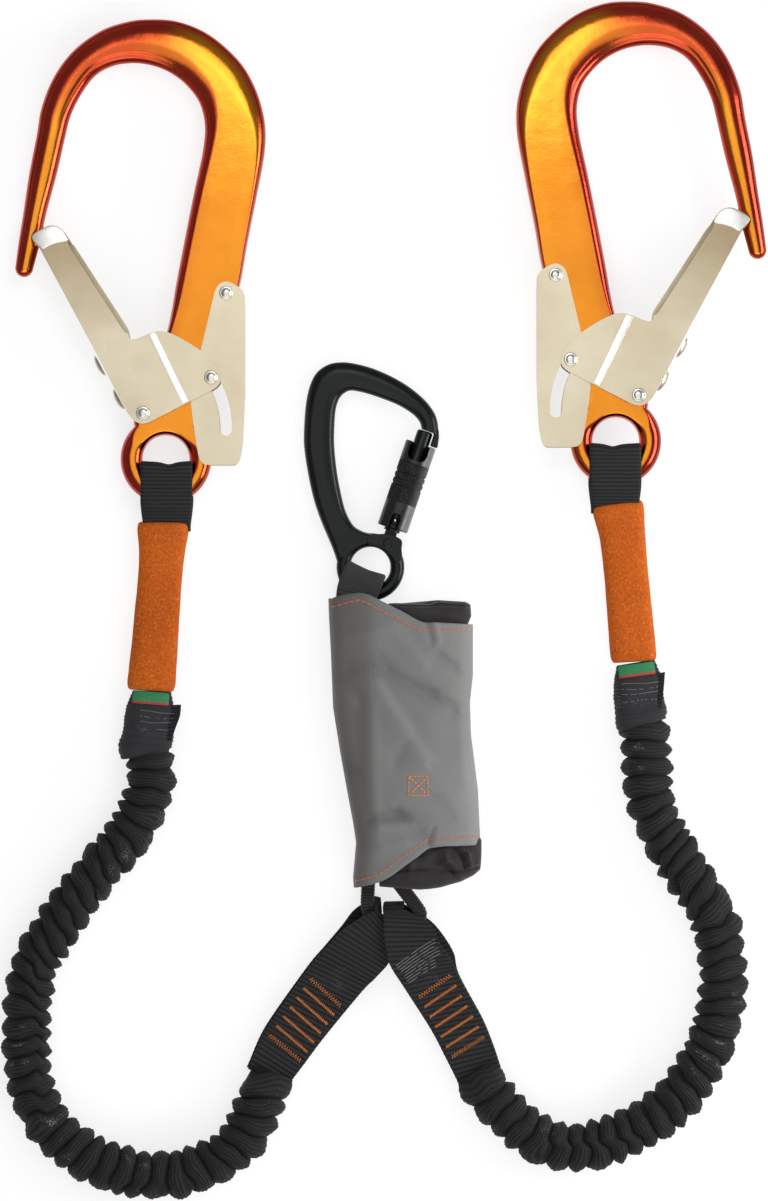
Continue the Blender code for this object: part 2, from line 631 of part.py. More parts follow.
# ------------------------------------------------- sewn straps at the lower end
LOWER = {
    "left": [((376.0, 899.0), (383.4, 899.0), 1.8, 16.8), ((374.0, 909.0), (383.6, 912.0), 1.8, 16.8),
             ((357.0, 918.0), (383.6, 925.0), 1.8, 16.8), ((340.0, 928.0), (384.4, 938.0), 1.8, 16.8),
             ((325.0, 947.0), (387.8, 961.0), 2.0, 16.6), ((309.0, 966.6), (362.0, 992.0), 4.6, 13.2),
             ((276.5, 1012.0), (325.0, 1037.0), 5.6, 12.6), ((249.6, 1065.0), (288.5, 1086.5), 4.0, 15.0)],
    "right": [((386.6, 905.0), (404.0, 905.5), 1.8, 16.8), ((386.2, 912.5), (412.0, 912.5), 1.8, 16.8),
              ((386.2, 925.0), (430.0, 925.0), 1.8, 16.8), ((387.0, 944.0), (439.5, 938.0), 1.8, 16.8),
              ((391.0, 964.0), (450.0, 956.0), 2.0, 16.6), ((405.0, 990.0), (459.0, 975.0), 4.6, 13.2),
              ((430.0, 1029.0), (482.0, 1019.0), 5.6, 12.6), ((455.5, 1079.5), (499.5, 1066.0), 4.0, 15.0)],
}
WAY = {
    "left": [(320, 880), (375.4, 880), (375.4, 905.2), (400, 905.2), (400, 943), (320, 943)],
    "right": [(370, 911.5), (404.8, 911.5), (404.8, 880), (452, 880), (452, 943), (370, 943)],
}
for side in ("left", "right"):
    rings = []
    for left, right_, low, high in LOWER[side]:
        a, b = Vector((*P(*left), 0)), Vector((*P(*right_), 0))
        across = (b - a)
        r = 1.0 * MM / across.length
        lo, hi = low * MM, high * MM
        ch = 1.0 * MM
        rings.append([a + Vector((0, 0, lo + ch)), a + across * r + Vector((0, 0, lo)),
                      b - across * r + Vector((0, 0, lo)), b + Vector((0, 0, lo + ch)),
                      b + Vector((0, 0, hi - ch)), b - across * r + Vector((0, 0, hi)),
                      a + across * r + Vector((0, 0, hi)), a + Vector((0, 0, hi - ch))])
    obj = new_object(side + "_lower_loop", loft_mesh(side + "_lower_loop", rings), BLACK_WEB)
    cut(obj, outline_mesh("strap_way", [[P(*p) for p in WAY[side]]], 4.0 * MM, 14.6 * MM),
        side + "_strap_way")
    set_pivot(obj, P3(380, 918, 9.3 * MM) if side == "left" else P3(395, 920, 9.3 * MM))

# ------------------------------------------------------------------- absorber
LEFT_EDGE = [(590, 328), (617, 329), (656, 331), (707, 333), (751, 340), (790, 347),
             (822, 353), (842, 356), (877, 353), (890, 354)]
RIGHT_EDGE = [(590, 473), (623, 473), (675, 473), (702, 470), (734, 471), (790, 478), (834, 480), (890, 480)]
TOP_EDGE = [(320, 604), (328, 601), (339, 596), (355, 593), (371, 594), (392, 605), (403, 613),
            (419, 620), (473, 623), (480, 623)]
BOTTOM_EDGE = [(350, 887), (354, 886), (384, 880), (410, 858), (431, 845), (480, 843.5), (484, 843.5)]


def along(table, v):
    for (a, fa), (b, fb) in zip(table, table[1:]):
        if v <= b:
            t = min(1.0, max(0.0, (v - a) / (b - a)))
            return fa + (fb - fa) * t
    return table[-1][1]


# Cover: one sheet of cloth wrapped round the pack and closed underneath, where
# its outer flap laps its inner flap.
WRAP = [  # (edge it is measured from, offset in squares, height in mm)
    ("at", 438, 3.9), ("at", 410, 3.9), ("at", 385, 3.9), ("L", 20, 3.9), ("L", 6.5, 4.0), ("L", 2.2, 7), ("L", 1.2, 18),
    ("L", 3, 27), ("L", 9, 32), ("L", 22, 34.2), ("L", 45, 35.2), ("M", 0, 35.6), ("R", -45, 35.2),
    ("R", -22, 34.2), ("R", -9, 32), ("R", -3, 27), ("R", -1.4, 19), ("R", -1.8, 9), ("R", -7, 2.4),
    ("R", -18, 0.6), ("at", 430, 0.6), ("at", 400, 0.6), ("at", 372, 0.6)]
bm = bmesh.new()
grid = []
ROWS = 9
for j in range(ROWS):
    v = j / (ROWS - 1)
    row = []
    for kind, off, h in WRAP:
        y = 600 + 285 * v
        for _ in range(3):      # the edge's x depends on y and the y on x
            lx, rx = along(LEFT_EDGE, y), along(RIGHT_EDGE, y)
            x = {"at": off, "L": lx + off, "R": rx + off, "M": (lx + rx) / 2}[kind]
            top, bottom = along(TOP_EDGE, x), along(BOTTOM_EDGE, x)
            if h < 6:
                top = max(top, 622)
            y = top + (bottom - top) * v
        row.append(bm.verts.new((*P(x, y), h * MM)))
    grid.append(row)
for a, b in zip(grid, grid[1:]):
    for i in range(len(WRAP) - 1):
        bm.faces.new((a[i], a[i + 1], b[i + 1], b[i]))
bmesh.ops.recalc_face_normals(bm, faces=bm.faces)
mesh = bpy.data.meshes.new("absorber_cover")
bm.to_mesh(mesh)
bm.free()
cover = new_object("absorber_cover", mesh, GREY_FABRIC)
shell = cover.modifiers.new("cloth_thickness", "SOLIDIFY")
shell.thickness = COVER_T
shell.offset = 0.0
shell.use_even_offset = True

for name, low, high, x0, x1 in (("closure_hook_strip", 1.55, 2.15, 384, 424),
                                ("closure_loop_strip", 2.45, 2.98, 380, 428)):
    pts = [P(x0, 640), P(x1, 640), P(x1, 838), P(x0, 850)]
    new_object(name, outline_mesh(name, [pts], low * MM, high * MM), BLACK_FABRIC)


def warp(mesh):
    """From (share of the cover's width, plan y) to its real place."""
    for v in mesh.vertices:
        y = v.co.y
        lx, rx = along(LEFT_EDGE, y), along(RIGHT_EDGE, y)
        x, yy = P(lx + (rx - lx) * v.co.x, y)
        v.co.x, v.co.y = x, yy
    return tidy(mesh, 0.00001)


def serpentine(name, u0, u1, y0, y1, z0, layers, pitch, thick):
    """Webbing folded to and fro, each layer on the last, as one strip."""
    mid = []
    r = pitch / 2
    for k in range(layers):
        z = z0 + thick / 2 + k * pitch
        a, b = (y0 + r / SQUARE, y1 - r / SQUARE) if k % 2 == 0 else (y1 - r / SQUARE, y0 + r / SQUARE)
        count = 4
        for i in range(count + 1):
            mid.append((a + (b - a) * i / count, z))
        if k < layers - 1:
            s = 1 if k % 2 == 0 else -1
            mid.append((b + s * r / SQUARE * 0.85, z + pitch / 2))
    # thicken in metres, then back to plan squares along y
    pts = [(y * SQUARE, z) for y, z in mid]
    out = ribbon(pts, thick / 2, cap=0)
    swap = Matrix(((0, 0, 1, 0), (1 / SQUARE, 0, 0, 0), (0, 1, 0, 0), (0, 0, 0, 1)))
    mesh = outline_mesh(name, [out], u0, u1)
    mesh.transform(swap)
    return warp(mesh)


new_object("tear_webbing", serpentine("tear_webbing", 0.085, 0.40, 622, 858, 5.2 * MM, 8, 3.05 * MM, 2.3 * MM),
           BLACK_WEB)
new_object("reserve_webbing", serpentine("reserve_webbing", 0.49, 0.85, 618, 862, 8.0 * MM, 6, 3.2 * MM, 2.3 * MM),
           BLACK_WEB)

# Inner pouch: a sewn bag, open along the side that faces the tear webbing.
bm = bmesh.new()
bmesh.ops.create_cube(bm, size=1.0)
mesh = bpy.data.meshes.new("inner_pouch")
bmesh.ops.subdivide_edges(bm, edges=[e for e in bm.edges if abs((e.verts[0].co - e.verts[1].co).y) > 0.5],
                          cuts=6)
for v in bm.verts:
    v.co = Vector((0.690 + 0.52 * v.co.x, 741.5 + 288 * v.co.y, (18.4 + 26.4 * v.co.z) * MM))
bm.to_mesh(mesh)
bm.free()
warp(mesh)
pouch = new_object("inner_pouch", mesh, BLACK_FABRIC)
bevel(pouch, 6.0 * MM, 2, 50)
bm = bmesh.new()
bmesh.ops.create_cube(bm, size=1.0)
for v in bm.verts:
    v.co = Vector((0.64 + 0.52 * v.co.x, 741.5 + 270 * v.co.y, (17.6 + 21.6 * v.co.z) * MM))
inside = bpy.data.meshes.new("pouch_inside")
bm.to_mesh(inside)
bm.free()
for v in inside.vertices:
    y = v.co.y
    lx, rx = along(LEFT_EDGE, y), along(RIGHT_EDGE, y)
    x, yy = P(lx + (rx - lx) * v.co.x - 1.0, y)
    v.co.x, v.co.y = x, yy
tidy(inside, 0.00001)
cut(pouch, inside, "pouch_inside")

# Lower strap: a U of folded webbing on edge, which both arms' loops hang on.
strap = [P(*p) for p in ((369.0, 871), (368.0, 892), (367.6, 904), (369.5, 913), (375, 919.2), (384, 921.3),
                         (398, 921.5), (410, 920.6), (417.4, 916.6), (418.6, 911.0), (414, 902.5),
                         (404, 890), (388.5, 871))]
mesh = outline_mesh("absorber_lower_strap", [ribbon(strap, 3.0 * MM, cap=0)], STRAP_LO, STRAP_HI)
new_object("absorber_lower_strap", mesh, BLACK_WEB)

# ------------------------------------------------------------------ carabiner
CARAB_OUTER = [
    (438.6, 445.5), (439.0, 433.0), (438.6, 426.0), (434.6, 413.0), (426.0, 401.0), (411.0, 388.0),
    (394.0, 377.5), (374.0, 368.6), (356.0, 363.6), (342.0, 362.0), (329.0, 364.0),
    (317.0, 372.0), (310.0, 385.0), (306.0, 402.5), (304.0, 426.0), (304.0, 447.0),
    (308.0, 474.0), (313.0, 497.0), (320.0, 519.0), (329.0, 540.0), (336.5, 558.0)]
CARAB_INNER = [
    (380.5, 535.0), (372.0, 533.4), (362.0, 531.0), (353.3, 525.3), (345.3, 511.0), (339.0, 488.0),
    (335.5, 465.0), (334.0, 440.0), (334.6, 420.0), (337.0, 402.5), (342.0, 394.0),
    (353.0, 390.0), (369.0, 394.0), (386.0, 400.0), (404.0, 408.0), (414.5, 415.0),
    (419.6, 421.5), (420.9, 427.7), (431.6, 431.7), (434.2, 435.0), (433.0, 445.5)]
ring_arc = []
for i in range(25):
    a = math.radians(164 + (378.9 - 164) * i / 24)
    ring_arc.append((RING[0] + 34 * math.cos(a), RING[1] - 34 * math.sin(a)))
# the neck that carries the hinge ears, between the eye and the bridge
CARAB_NECK = [(401.4, 550.0), (402.2, 545.0), (402.3, 541.0), (400.0, 538.6), (395.4, 536.2), (391.2, 533.6), (386.4, 533.6)]
outline = CARAB_OUTER + ring_arc[1:] + CARAB_NECK + CARAB_INNER
mesh = outline_mesh("carabiner_body", [[P(*p) for p in outline], circle(P(*RING), RING_HOLE, 32)],
                    CARAB_Z - CARAB_HALF, CARAB_Z + CARAB_HALF)
carab = new_object("carabiner_body", mesh, BLACK_METAL)
bevel(carab, 1.6 * MM, 1, 55)
# the eye is thinner than the frame, so that the loop lies close on it
for s, tag in ((1, "front"), (-1, "back")):
    lo, hi = sorted((CARAB_Z + s * RING_HALF, CARAB_Z + s * 9 * MM))
    cut(carab, outline_mesh("relief", [[P(*p) for p in ((330, 552.5), (392.5, 556.5), (392.5, 563), (412, 565),
                                                         (412, 610), (330, 610))]], lo, hi),
        "carabiner_eye_relief_" + tag)
axis = (Vector(P(*GATE_TOP)) - Vector(P(*CARAB_PIVOT))).normalized()
angle = math.atan2(axis.y, axis.x)
# slot between the hinge ears, open on the side where the gate swings
hinge = P3(*CARAB_PIVOT, CARAB_Z)
slot = []
for i in range(10):
    a = math.radians(180 + 161 * i / 9)
    slot.append((hinge.x + 3.6 * MM * math.cos(a), hinge.y + 3.6 * MM * math.sin(a)))
slot += [(hinge.x + x * MM, hinge.y + y * MM) for x, y in ((5.9, 6.5), (5.9, 8.5), (-3.8, 8.5))]
cut(carab, outline_mesh("ear_slot", [slot],
                        CARAB_Z - 2.6 * MM, CARAB_Z + 2.6 * MM), "carabiner_ear_slot")
cut(carab, outline_mesh("pin_bore", [circle(P(*CARAB_PIVOT), 1.6 * MM, 16)],
                        CARAB_Z - 9 * MM, CARAB_Z + 9 * MM), "carabiner_pin_bore")
set_pivot(carab, P3(*RING, CARAB_Z))

# Gate: a round rod with a flat tang between the ears.
to_axis = Matrix.Translation(hinge) @ Matrix.Rotation(angle, 4, "Z") @ Matrix.Rotation(math.radians(90), 4, "Y")
# in this frame Z runs from the pivot along the gate, so turned pieces stand on it
LENGTH = (Vector(P(*GATE_TOP)) - Vector(P(*CARAB_PIVOT))).length
ROD = 4.0 * MM
profile = [(0.0, LENGTH), (ROD - 0.9 * MM, LENGTH), (ROD, LENGTH - 0.9 * MM), (ROD, 9.9 * MM),
           (5.0 * MM, 9.4 * MM), (5.0 * MM, 8.0 * MM), (ROD, 7.4 * MM), (ROD, 6.2 * MM), (0.0, 6.2 * MM)]
gate = new_object("carabiner_gate", turned_mesh("carabiner_gate", profile, 20, to_axis), BLACK_METAL)
tang = outline_mesh("tang", [ribbon([P(*CARAB_PIVOT), (hinge.x + axis.x * 4 * MM, hinge.y + axis.y * 4 * MM),
                                     (hinge.x + axis.x * 8.5 * MM, hinge.y + axis.y * 8.5 * MM)], 3.0 * MM, cap=8)],
                    CARAB_Z - 2.2 * MM, CARAB_Z + 0.8 * MM)
cut(gate, tang, "gate_tang", "UNION")
cut(gate, outline_mesh("bore", [circle(P(*CARAB_PIVOT), 1.6 * MM, 16)], CARAB_Z - 5 * MM, CARAB_Z + 5 * MM),
    "gate_pin_bore")
ball_at = Vector((-3.75 * MM, 0, 12.0 * MM))         # on the front of the rod
bm = bmesh.new()
bmesh.ops.create_uvsphere(bm, u_segments=12, v_segments=8, radius=1.5 * MM)
bmesh.ops.translate(bm, verts=bm.verts, vec=ball_at)
socket = bpy.data.meshes.new("ball_socket")
bm.to_mesh(socket)
bm.free()
socket.transform(to_axis)
cut(gate, socket, "guide_ball_socket")
set_pivot(gate, hinge)
bm = bmesh.new()
bmesh.ops.create_uvsphere(bm, u_segments=12, v_segments=8, radius=1.15 * MM)
bmesh.ops.translate(bm, verts=bm.verts, vec=ball_at)
mesh = bpy.data.meshes.new("guide_ball")
bm.to_mesh(mesh)
bm.free()
mesh.transform(to_axis)
smooth_round(mesh)
ball = new_object("guide_ball", mesh, STEEL)
set_pivot(ball, hinge)

pin = new_object("carabiner_gate_pin",
                 turned_mesh("carabiner_gate_pin",
                             [(0.0, 5.3 * MM), (1.6 * MM, 5.2 * MM), (2.3 * MM, 4.9 * MM), (1.35 * MM, 4.88 * MM),
                              (1.35 * MM, -4.88 * MM), (2.3 * MM, -4.9 * MM), (1.6 * MM, -5.2 * MM), (0.0, -5.3 * MM)]),
                 BLACK_METAL)
pin.location = hinge
coil = []
for i in range(16):
    f = i / 15
    a = angle + math.pi - f * 1.15 * 2 * math.pi
    coil.append(hinge + Vector((2.55 * MM * math.cos(a), 2.55 * MM * math.sin(a), (1.45 + 0.75 * f) * MM)))
spring = new_object("carabiner_gate_spring", tube_mesh("spring", coil, 0.28 * MM, 1), SPRING)
set_pivot(spring, hinge)

# Locking sleeve: lifted along the gate, then turned, before the gate opens.
S0, S1 = 7.6 * MM, LENGTH - 6.9 * MM
SR = 7.5 * MM
profile = [(5.35 * MM, S1), (SR - 0.4 * MM, S1), (SR, S1 - 0.4 * MM)]
for groove in (0.640, 0.570, 0.500):
    g = S0 + (S1 - S0) * groove
    profile += [(SR, g + 0.9 * MM), (SR - 0.8 * MM, g + 0.5 * MM), (SR - 0.8 * MM, g - 0.5 * MM), (SR, g - 0.9 * MM)]
profile += [(SR, S0 + 0.6 * MM), (SR - 0.6 * MM, S0), (5.35 * MM, S0), (5.35 * MM, S1)]
sleeve = new_object("locking_sleeve", turned_mesh("locking_sleeve", profile, 18, to_axis), BLACK_METAL)
window = outline_mesh("window", [[(-4.9 * MM, S1 - 9.0 * MM), (4.9 * MM, S1 - 9.0 * MM), (4.9 * MM, S1 + 3 * MM),
                                  (-4.9 * MM, S1 + 3 * MM)]], 2.0 * MM, 9 * MM)
# drawn with its length along the gate and its depth towards the viewer
swap = Matrix(((0, 0, -1, 0), (1, 0, 0, 0), (0, 1, 0, 0), (0, 0, 0, 1)))
window.transform(to_axis @ swap)
tidy(window)
cut(sleeve, window, "sleeve_window")
slot = outline_mesh("slot", [[(-2.4 * MM, S0 - 2 * MM), (2.4 * MM, S0 - 2 * MM), (2.4 * MM, S0 + 6.5 * MM),
                              (1.2 * MM, S0 + 8.0 * MM), (-1.2 * MM, S0 + 8.0 * MM), (-2.4 * MM, S0 + 6.5 * MM)]],
                    2.0 * MM, 9 * MM)
slot.transform(to_axis @ swap)
tidy(slot)
cut(sleeve, slot, "sleeve_slot")
set_pivot(sleeve, hinge)
washer = new_object("sleeve_spring_washer",
                    turned_mesh("sleeve_spring_washer",
                                [(4.35 * MM, 30.4 * MM), (5.0 * MM, 30.4 * MM), (5.0 * MM, 29.4 * MM),
                                 (4.35 * MM, 29.4 * MM), (4.35 * MM, 30.4 * MM)], 20, to_axis), STEEL)
set_pivot(washer, hinge)
coil = []
for i in range(41):
    f = i / 40
    a = f * 4 * 2 * math.pi
    coil.append(to_axis @ Vector((4.65 * MM * math.cos(a), 4.65 * MM * math.sin(a), (16.8 + 12.2 * f) * MM)))
spring = new_object("sleeve_spring", tube_mesh("sleeve_spring", coil, 0.3 * MM, 1), SPRING)
set_pivot(spring, hinge)

bpy.context.view_layer.update()
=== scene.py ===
# Looks of the energy absorbing y-lanyard: forged orange hooks, pressed sheet gates,
# black captive-eye carabiner, wrapped absorber pack and two crimped elastic arms.
#
# The plan is drawn in half-millimetre squares, x right and y down, as P() says.

import json
import math

import bmesh
import bpy
import numpy as np
from mathutils import Matrix, Vector
from mathutils.bvhtree import BVHTree
from mathutils.kdtree import KDTree

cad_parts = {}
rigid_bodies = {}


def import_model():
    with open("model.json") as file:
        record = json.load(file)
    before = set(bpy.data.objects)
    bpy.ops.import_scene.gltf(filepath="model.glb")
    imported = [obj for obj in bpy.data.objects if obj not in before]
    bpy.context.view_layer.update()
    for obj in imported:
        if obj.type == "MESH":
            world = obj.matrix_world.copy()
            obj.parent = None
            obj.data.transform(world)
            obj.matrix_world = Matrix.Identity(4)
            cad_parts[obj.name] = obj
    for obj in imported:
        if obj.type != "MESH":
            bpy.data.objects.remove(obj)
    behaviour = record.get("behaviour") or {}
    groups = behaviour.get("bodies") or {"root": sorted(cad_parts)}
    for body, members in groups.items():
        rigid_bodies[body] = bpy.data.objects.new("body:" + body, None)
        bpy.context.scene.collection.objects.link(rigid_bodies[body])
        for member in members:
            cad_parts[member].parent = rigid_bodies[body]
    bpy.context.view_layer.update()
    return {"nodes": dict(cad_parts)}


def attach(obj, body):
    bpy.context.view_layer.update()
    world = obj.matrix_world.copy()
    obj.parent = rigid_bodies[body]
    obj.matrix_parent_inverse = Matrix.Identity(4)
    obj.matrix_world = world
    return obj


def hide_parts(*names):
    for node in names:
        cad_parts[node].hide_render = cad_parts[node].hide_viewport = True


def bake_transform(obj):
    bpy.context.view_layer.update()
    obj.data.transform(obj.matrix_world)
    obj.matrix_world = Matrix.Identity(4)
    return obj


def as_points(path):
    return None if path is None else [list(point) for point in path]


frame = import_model()
NODES = frame["nodes"]
scene = bpy.context.scene

SQ = 0.0005
MM = 0.001
HOOK_Z = 12.0 * MM
CARAB_Z = 9.5 * MM


def P(x, y):
    return ((x - 405.0) * SQ, (740.0 - y) * SQ)


def P3(x, y, z):
    return Vector((*P(x, y), z))


# The right hook mirrors the left one.
MIRROR = Matrix.Translation((-0.01415, 0.009, 0.0)) @ Matrix.Diagonal((-1, 1, 1, 1))


def other(x, y):
    return (781.7 - x, y - 18.0)


# ------------------------------------------------------------------- numbers
def spline(rows, count, dims=2, sub=16):
    """count rows evenly spaced on a smooth curve through the given rows, and its
    length; distance counts the first dims columns."""
    a = np.asarray(rows, float)
    ext = np.vstack([2 * a[0] - a[1], a, 2 * a[-1] - a[-2]])
    t = np.linspace(0, 1, sub, endpoint=False)[:, None]
    out = []
    for i in range(len(a) - 1):
        p0, p1, p2, p3 = ext[i:i + 4]
        out.append(0.5 * (2 * p1 + (p2 - p0) * t + (2 * p0 - 5 * p1 + 4 * p2 - p3) * t ** 2
                          + (3 * p1 - p0 - 3 * p2 + p3) * t ** 3))
    out.append(a[-1:])
    dense = np.vstack(out)
    run = np.concatenate([[0], np.cumsum(np.linalg.norm(np.diff(dense[:, :dims], axis=0), axis=1))])
    want = np.linspace(0, run[-1], count)
    return np.stack([np.interp(want, run, dense[:, c]) for c in range(a.shape[1])], 1), run[-1]


def straight(rows, count, dims=2):
    """As spline, with straight runs between the rows."""
    a = np.asarray(rows, float)
    run = np.concatenate([[0], np.cumsum(np.linalg.norm(np.diff(a[:, :dims], axis=0), axis=1))])
    want = np.linspace(0, run[-1], count)
    return np.stack([np.interp(want, run, a[:, c]) for c in range(a.shape[1])], 1), run[-1]


def step(a, b, x):
    t = np.clip((np.asarray(x, float) - a) / (b - a), 0, 1)
    return t * t * (3 - 2 * t)


def waves(x, y=0.0, seed=0.0):
    """A smooth uneven field from -1 to 1, the same each time."""
    s = seed * 1.7
    return (np.sin(x * 1.00 + y * 0.63 + s) + np.sin(x * 1.71 - y * 1.23 + 2.1 * s + 1.3)
            + np.sin(-x * 0.67 + y * 2.11 + 0.7 * s + 4.2) + np.sin(x * 2.93 + y * 1.87 + 1.9 * s)) / 4


def scatter(i, seed=0.0):
    """A fixed number from 0 to 1 for each whole number i."""
    v = np.sin(np.asarray(i, float) * 12.9898 + seed * 78.233) * 43758.5453
    return v - np.floor(v)


# ------------------------------------------------------------------- meshes
def recalc(mesh):
    bm = bmesh.new()
    bm.from_mesh(mesh)
    bmesh.ops.recalc_face_normals(bm, faces=bm.faces)
    bm.to_mesh(mesh)
    bm.free()
    return mesh


def grid_mesh(name, pts, around=False, along=False, caps=False, uv=None, attributes=None):
    """Quads through an n by m array of points; uv is n by m by 2 in metres."""
    pts = np.asarray(pts, float)
    n, m = pts.shape[:2]
    rows, cols = (n if along else n - 1), (m if around else m - 1)
    i, j = np.arange(rows)[:, None], np.arange(cols)[None, :]
    a, b = i * m + j, i * m + (j + 1) % m
    c, d = ((i + 1) % n) * m + (j + 1) % m, ((i + 1) % n) * m + j
    quads = np.stack([a, b, c, d], -1).reshape(-1, 4)
    faces = quads.tolist()
    if caps:
        faces.append(list(range(m)))
        faces.append([(n - 1) * m + k for k in reversed(range(m))])
    mesh = bpy.data.meshes.new(name)
    mesh.from_pydata(pts.reshape(-1, 3).tolist(), [], faces)
    layer = mesh.uv_layers.new(name="Surface")
    co = np.zeros((len(mesh.loops), 2), np.float32)
    if uv is not None:
        uv = np.asarray(uv, float)
        du = (uv[-1, 0, 0] - uv[0, 0, 0]) / max(n - 1, 1)
        dv = (uv[0, -1, 1] - uv[0, 0, 1]) / max(m - 1, 1)
        uv = np.vstack([uv, uv[-1:] + [du, 0]])
        uv = np.concatenate([uv, uv[:, -1:] + [0, dv]], 1)
        quad_uv = np.stack([uv[i, j + 0 * i], uv[i, j + 1 + 0 * i], uv[i + 1, j + 1], uv[i + 1, j + 0 * i]], 2)
        co[:len(quads) * 4] = quad_uv.reshape(-1, 2)
    layer.data.foreach_set("uv", co.ravel())
    for key, values in (attributes or {}).items():
        att = mesh.attributes.new(key, "FLOAT", "POINT")
        att.data.foreach_set("value", np.asarray(values, np.float32).ravel())
    return recalc(mesh)


def evaluated(obj):
    bpy.context.view_layer.update()
    deps = bpy.context.evaluated_depsgraph_get()
    mesh = bpy.data.meshes.new_from_object(obj.evaluated_get(deps))
    return mesh


def temp(mesh, name="temp"):
    obj = bpy.data.objects.new(name, mesh)
    scene.collection.objects.link(obj)
    return obj


def boolean(mesh, steps):
    """mesh cut by, or joined with, each (operation, other mesh)."""
    base = temp(mesh)
    tools = []
    for operation, m in steps:
        tool = temp(m)
        mod = base.modifiers.new("cut", "BOOLEAN")
        mod.operation = operation
        mod.object = tool
        mod.solver = "EXACT"
        tools.append(tool)
    out = evaluated(base)
    for o in [base] + tools:
        bpy.data.objects.remove(o, do_unlink=True)
    return out


def rounded(mesh, width, segments=2, angle=35):
    """mesh with its edges rounded."""
    obj = temp(mesh)
    mod = obj.modifiers.new("round", "BEVEL")
    mod.width = width
    mod.segments = segments
    mod.limit_method = "ANGLE"
    mod.angle_limit = math.radians(angle)
    mod.use_clamp_overlap = True
    out = evaluated(obj)
    bpy.data.objects.remove(obj, do_unlink=True)
    return out


def outline_mesh(name, loops, low, high):
    curve = bpy.data.curves.new(name, "CURVE")
    curve.dimensions = "2D"
    curve.fill_mode = "BOTH"
    curve.extrude = (high - low) / 2
    for pts in loops:
        s = curve.splines.new("POLY")
        s.points.add(len(pts) - 1)
        for point, (x, y) in zip(s.points, pts):
            point.co = (x, y, 0.0, 1.0)
        s.use_cyclic_u = True
    obj = bpy.data.objects.new(name, curve)
    scene.collection.objects.link(obj)
    mesh = evaluated(obj)
    bpy.data.objects.remove(obj, do_unlink=True)
    bpy.data.curves.remove(curve)
    bm = bmesh.new()
    bm.from_mesh(mesh)
    bmesh.ops.remove_doubles(bm, verts=bm.verts, dist=0.00001)
    bmesh.ops.dissolve_limit(bm, angle_limit=0.001, verts=bm.verts, edges=bm.edges)
    bmesh.ops.translate(bm, verts=bm.verts, vec=(0, 0, (low + high) / 2))
    bmesh.ops.recalc_face_normals(bm, faces=bm.faces)
    bm.to_mesh(mesh)
    bm.free()
    mesh.name = name
    return mesh


def soften(points, cap, times=2, keep=()):
    """An outline with its corners cut by up to cap, more finely each time."""
    pts = [Vector(p) for p in points]
    marks = [i in keep for i in range(len(pts))]
    for k in range(times):
        out, new = [], []
        limit = cap / (2 ** k)
        for i, p in enumerate(pts):
            if marks[i]:
                out.append(p)
                new.append(True)
                continue
            a, b = pts[i - 1], pts[(i + 1) % len(pts)]
            out.append(p + (a - p).normalized() * min(limit, (a - p).length * 0.3))
            out.append(p + (b - p).normalized() * min(limit, (b - p).length * 0.3))
            new += [False, False]
        pts, marks = out, new
    return [(p.x, p.y) for p in pts]


def circle(centre, radius, count=32):
    return [(centre[0] + radius * math.cos(2 * math.pi * i / count),
             centre[1] + radius * math.sin(2 * math.pi * i / count)) for i in range(count)]


def lathe(name, profile, steps=40, matrix=None, closed=False):
    """A turned piece about Z through (radius, z) points."""
    pts = np.zeros((len(profile), steps, 3))
    for i, (r, z) in enumerate(profile):
        a = np.arange(steps) * 2 * math.pi / steps
        pts[i, :, 0], pts[i, :, 1], pts[i, :, 2] = r * np.cos(a), r * np.sin(a), z
    run = np.concatenate([[0], np.cumsum(np.linalg.norm(np.diff(np.array(profile, float), axis=0), axis=1))])
    uv = np.zeros((len(profile), steps, 2))
    uv[..., 0] = run[:, None]
    uv[..., 1] = np.arange(steps)[None, :] * 2 * math.pi / steps * 0.005
    mesh = grid_mesh(name, pts, around=True, along=closed, uv=uv)
    if not closed:
        bm = bmesh.new()
        bm.from_mesh(mesh)
        bmesh.ops.remove_doubles(bm, verts=bm.verts, dist=0.000002)
        bmesh.ops.recalc_face_normals(bm, faces=bm.faces)
        bm.to_mesh(mesh)
        bm.free()
    if matrix is not None:
        mesh.transform(matrix)
    return mesh


def join(name, meshes):
    bm = bmesh.new()
    for m in meshes:
        bm.from_mesh(m)
    out = bpy.data.meshes.new(name)
    bm.to_mesh(out)
    bm.free()
    return out


def add(name, mesh, mat, body, replaces=(), sharp=None, parts=None):
    """A piece that rides on a body. parts is not used."""
    mesh.materials.clear()
    for m in (mat if isinstance(mat, (list, tuple)) else [mat]):
        mesh.materials.append(m)
    mesh.shade_smooth()
    if sharp is not None:
        mesh.set_sharp_from_angle(angle=math.radians(sharp))
    obj = bpy.data.objects.new(name, mesh)
    scene.collection.objects.link(obj)
    if body is not None:
        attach(obj, body)
    if replaces:
        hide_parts(*replaces)
    return obj


def flat_shading(obj):
    """Normals led by the large faces, so that pressed sheet looks flat."""
    mod = obj.modifiers.new("flat_faces", "WEIGHTED_NORMAL")
    mod.mode = "FACE_AREA"
    mod.keep_sharp = True


def mirrored(mesh, name):
    m = mesh.copy()
    m.name = name
    m.transform(MIRROR)
    m.flip_normals()
    return m


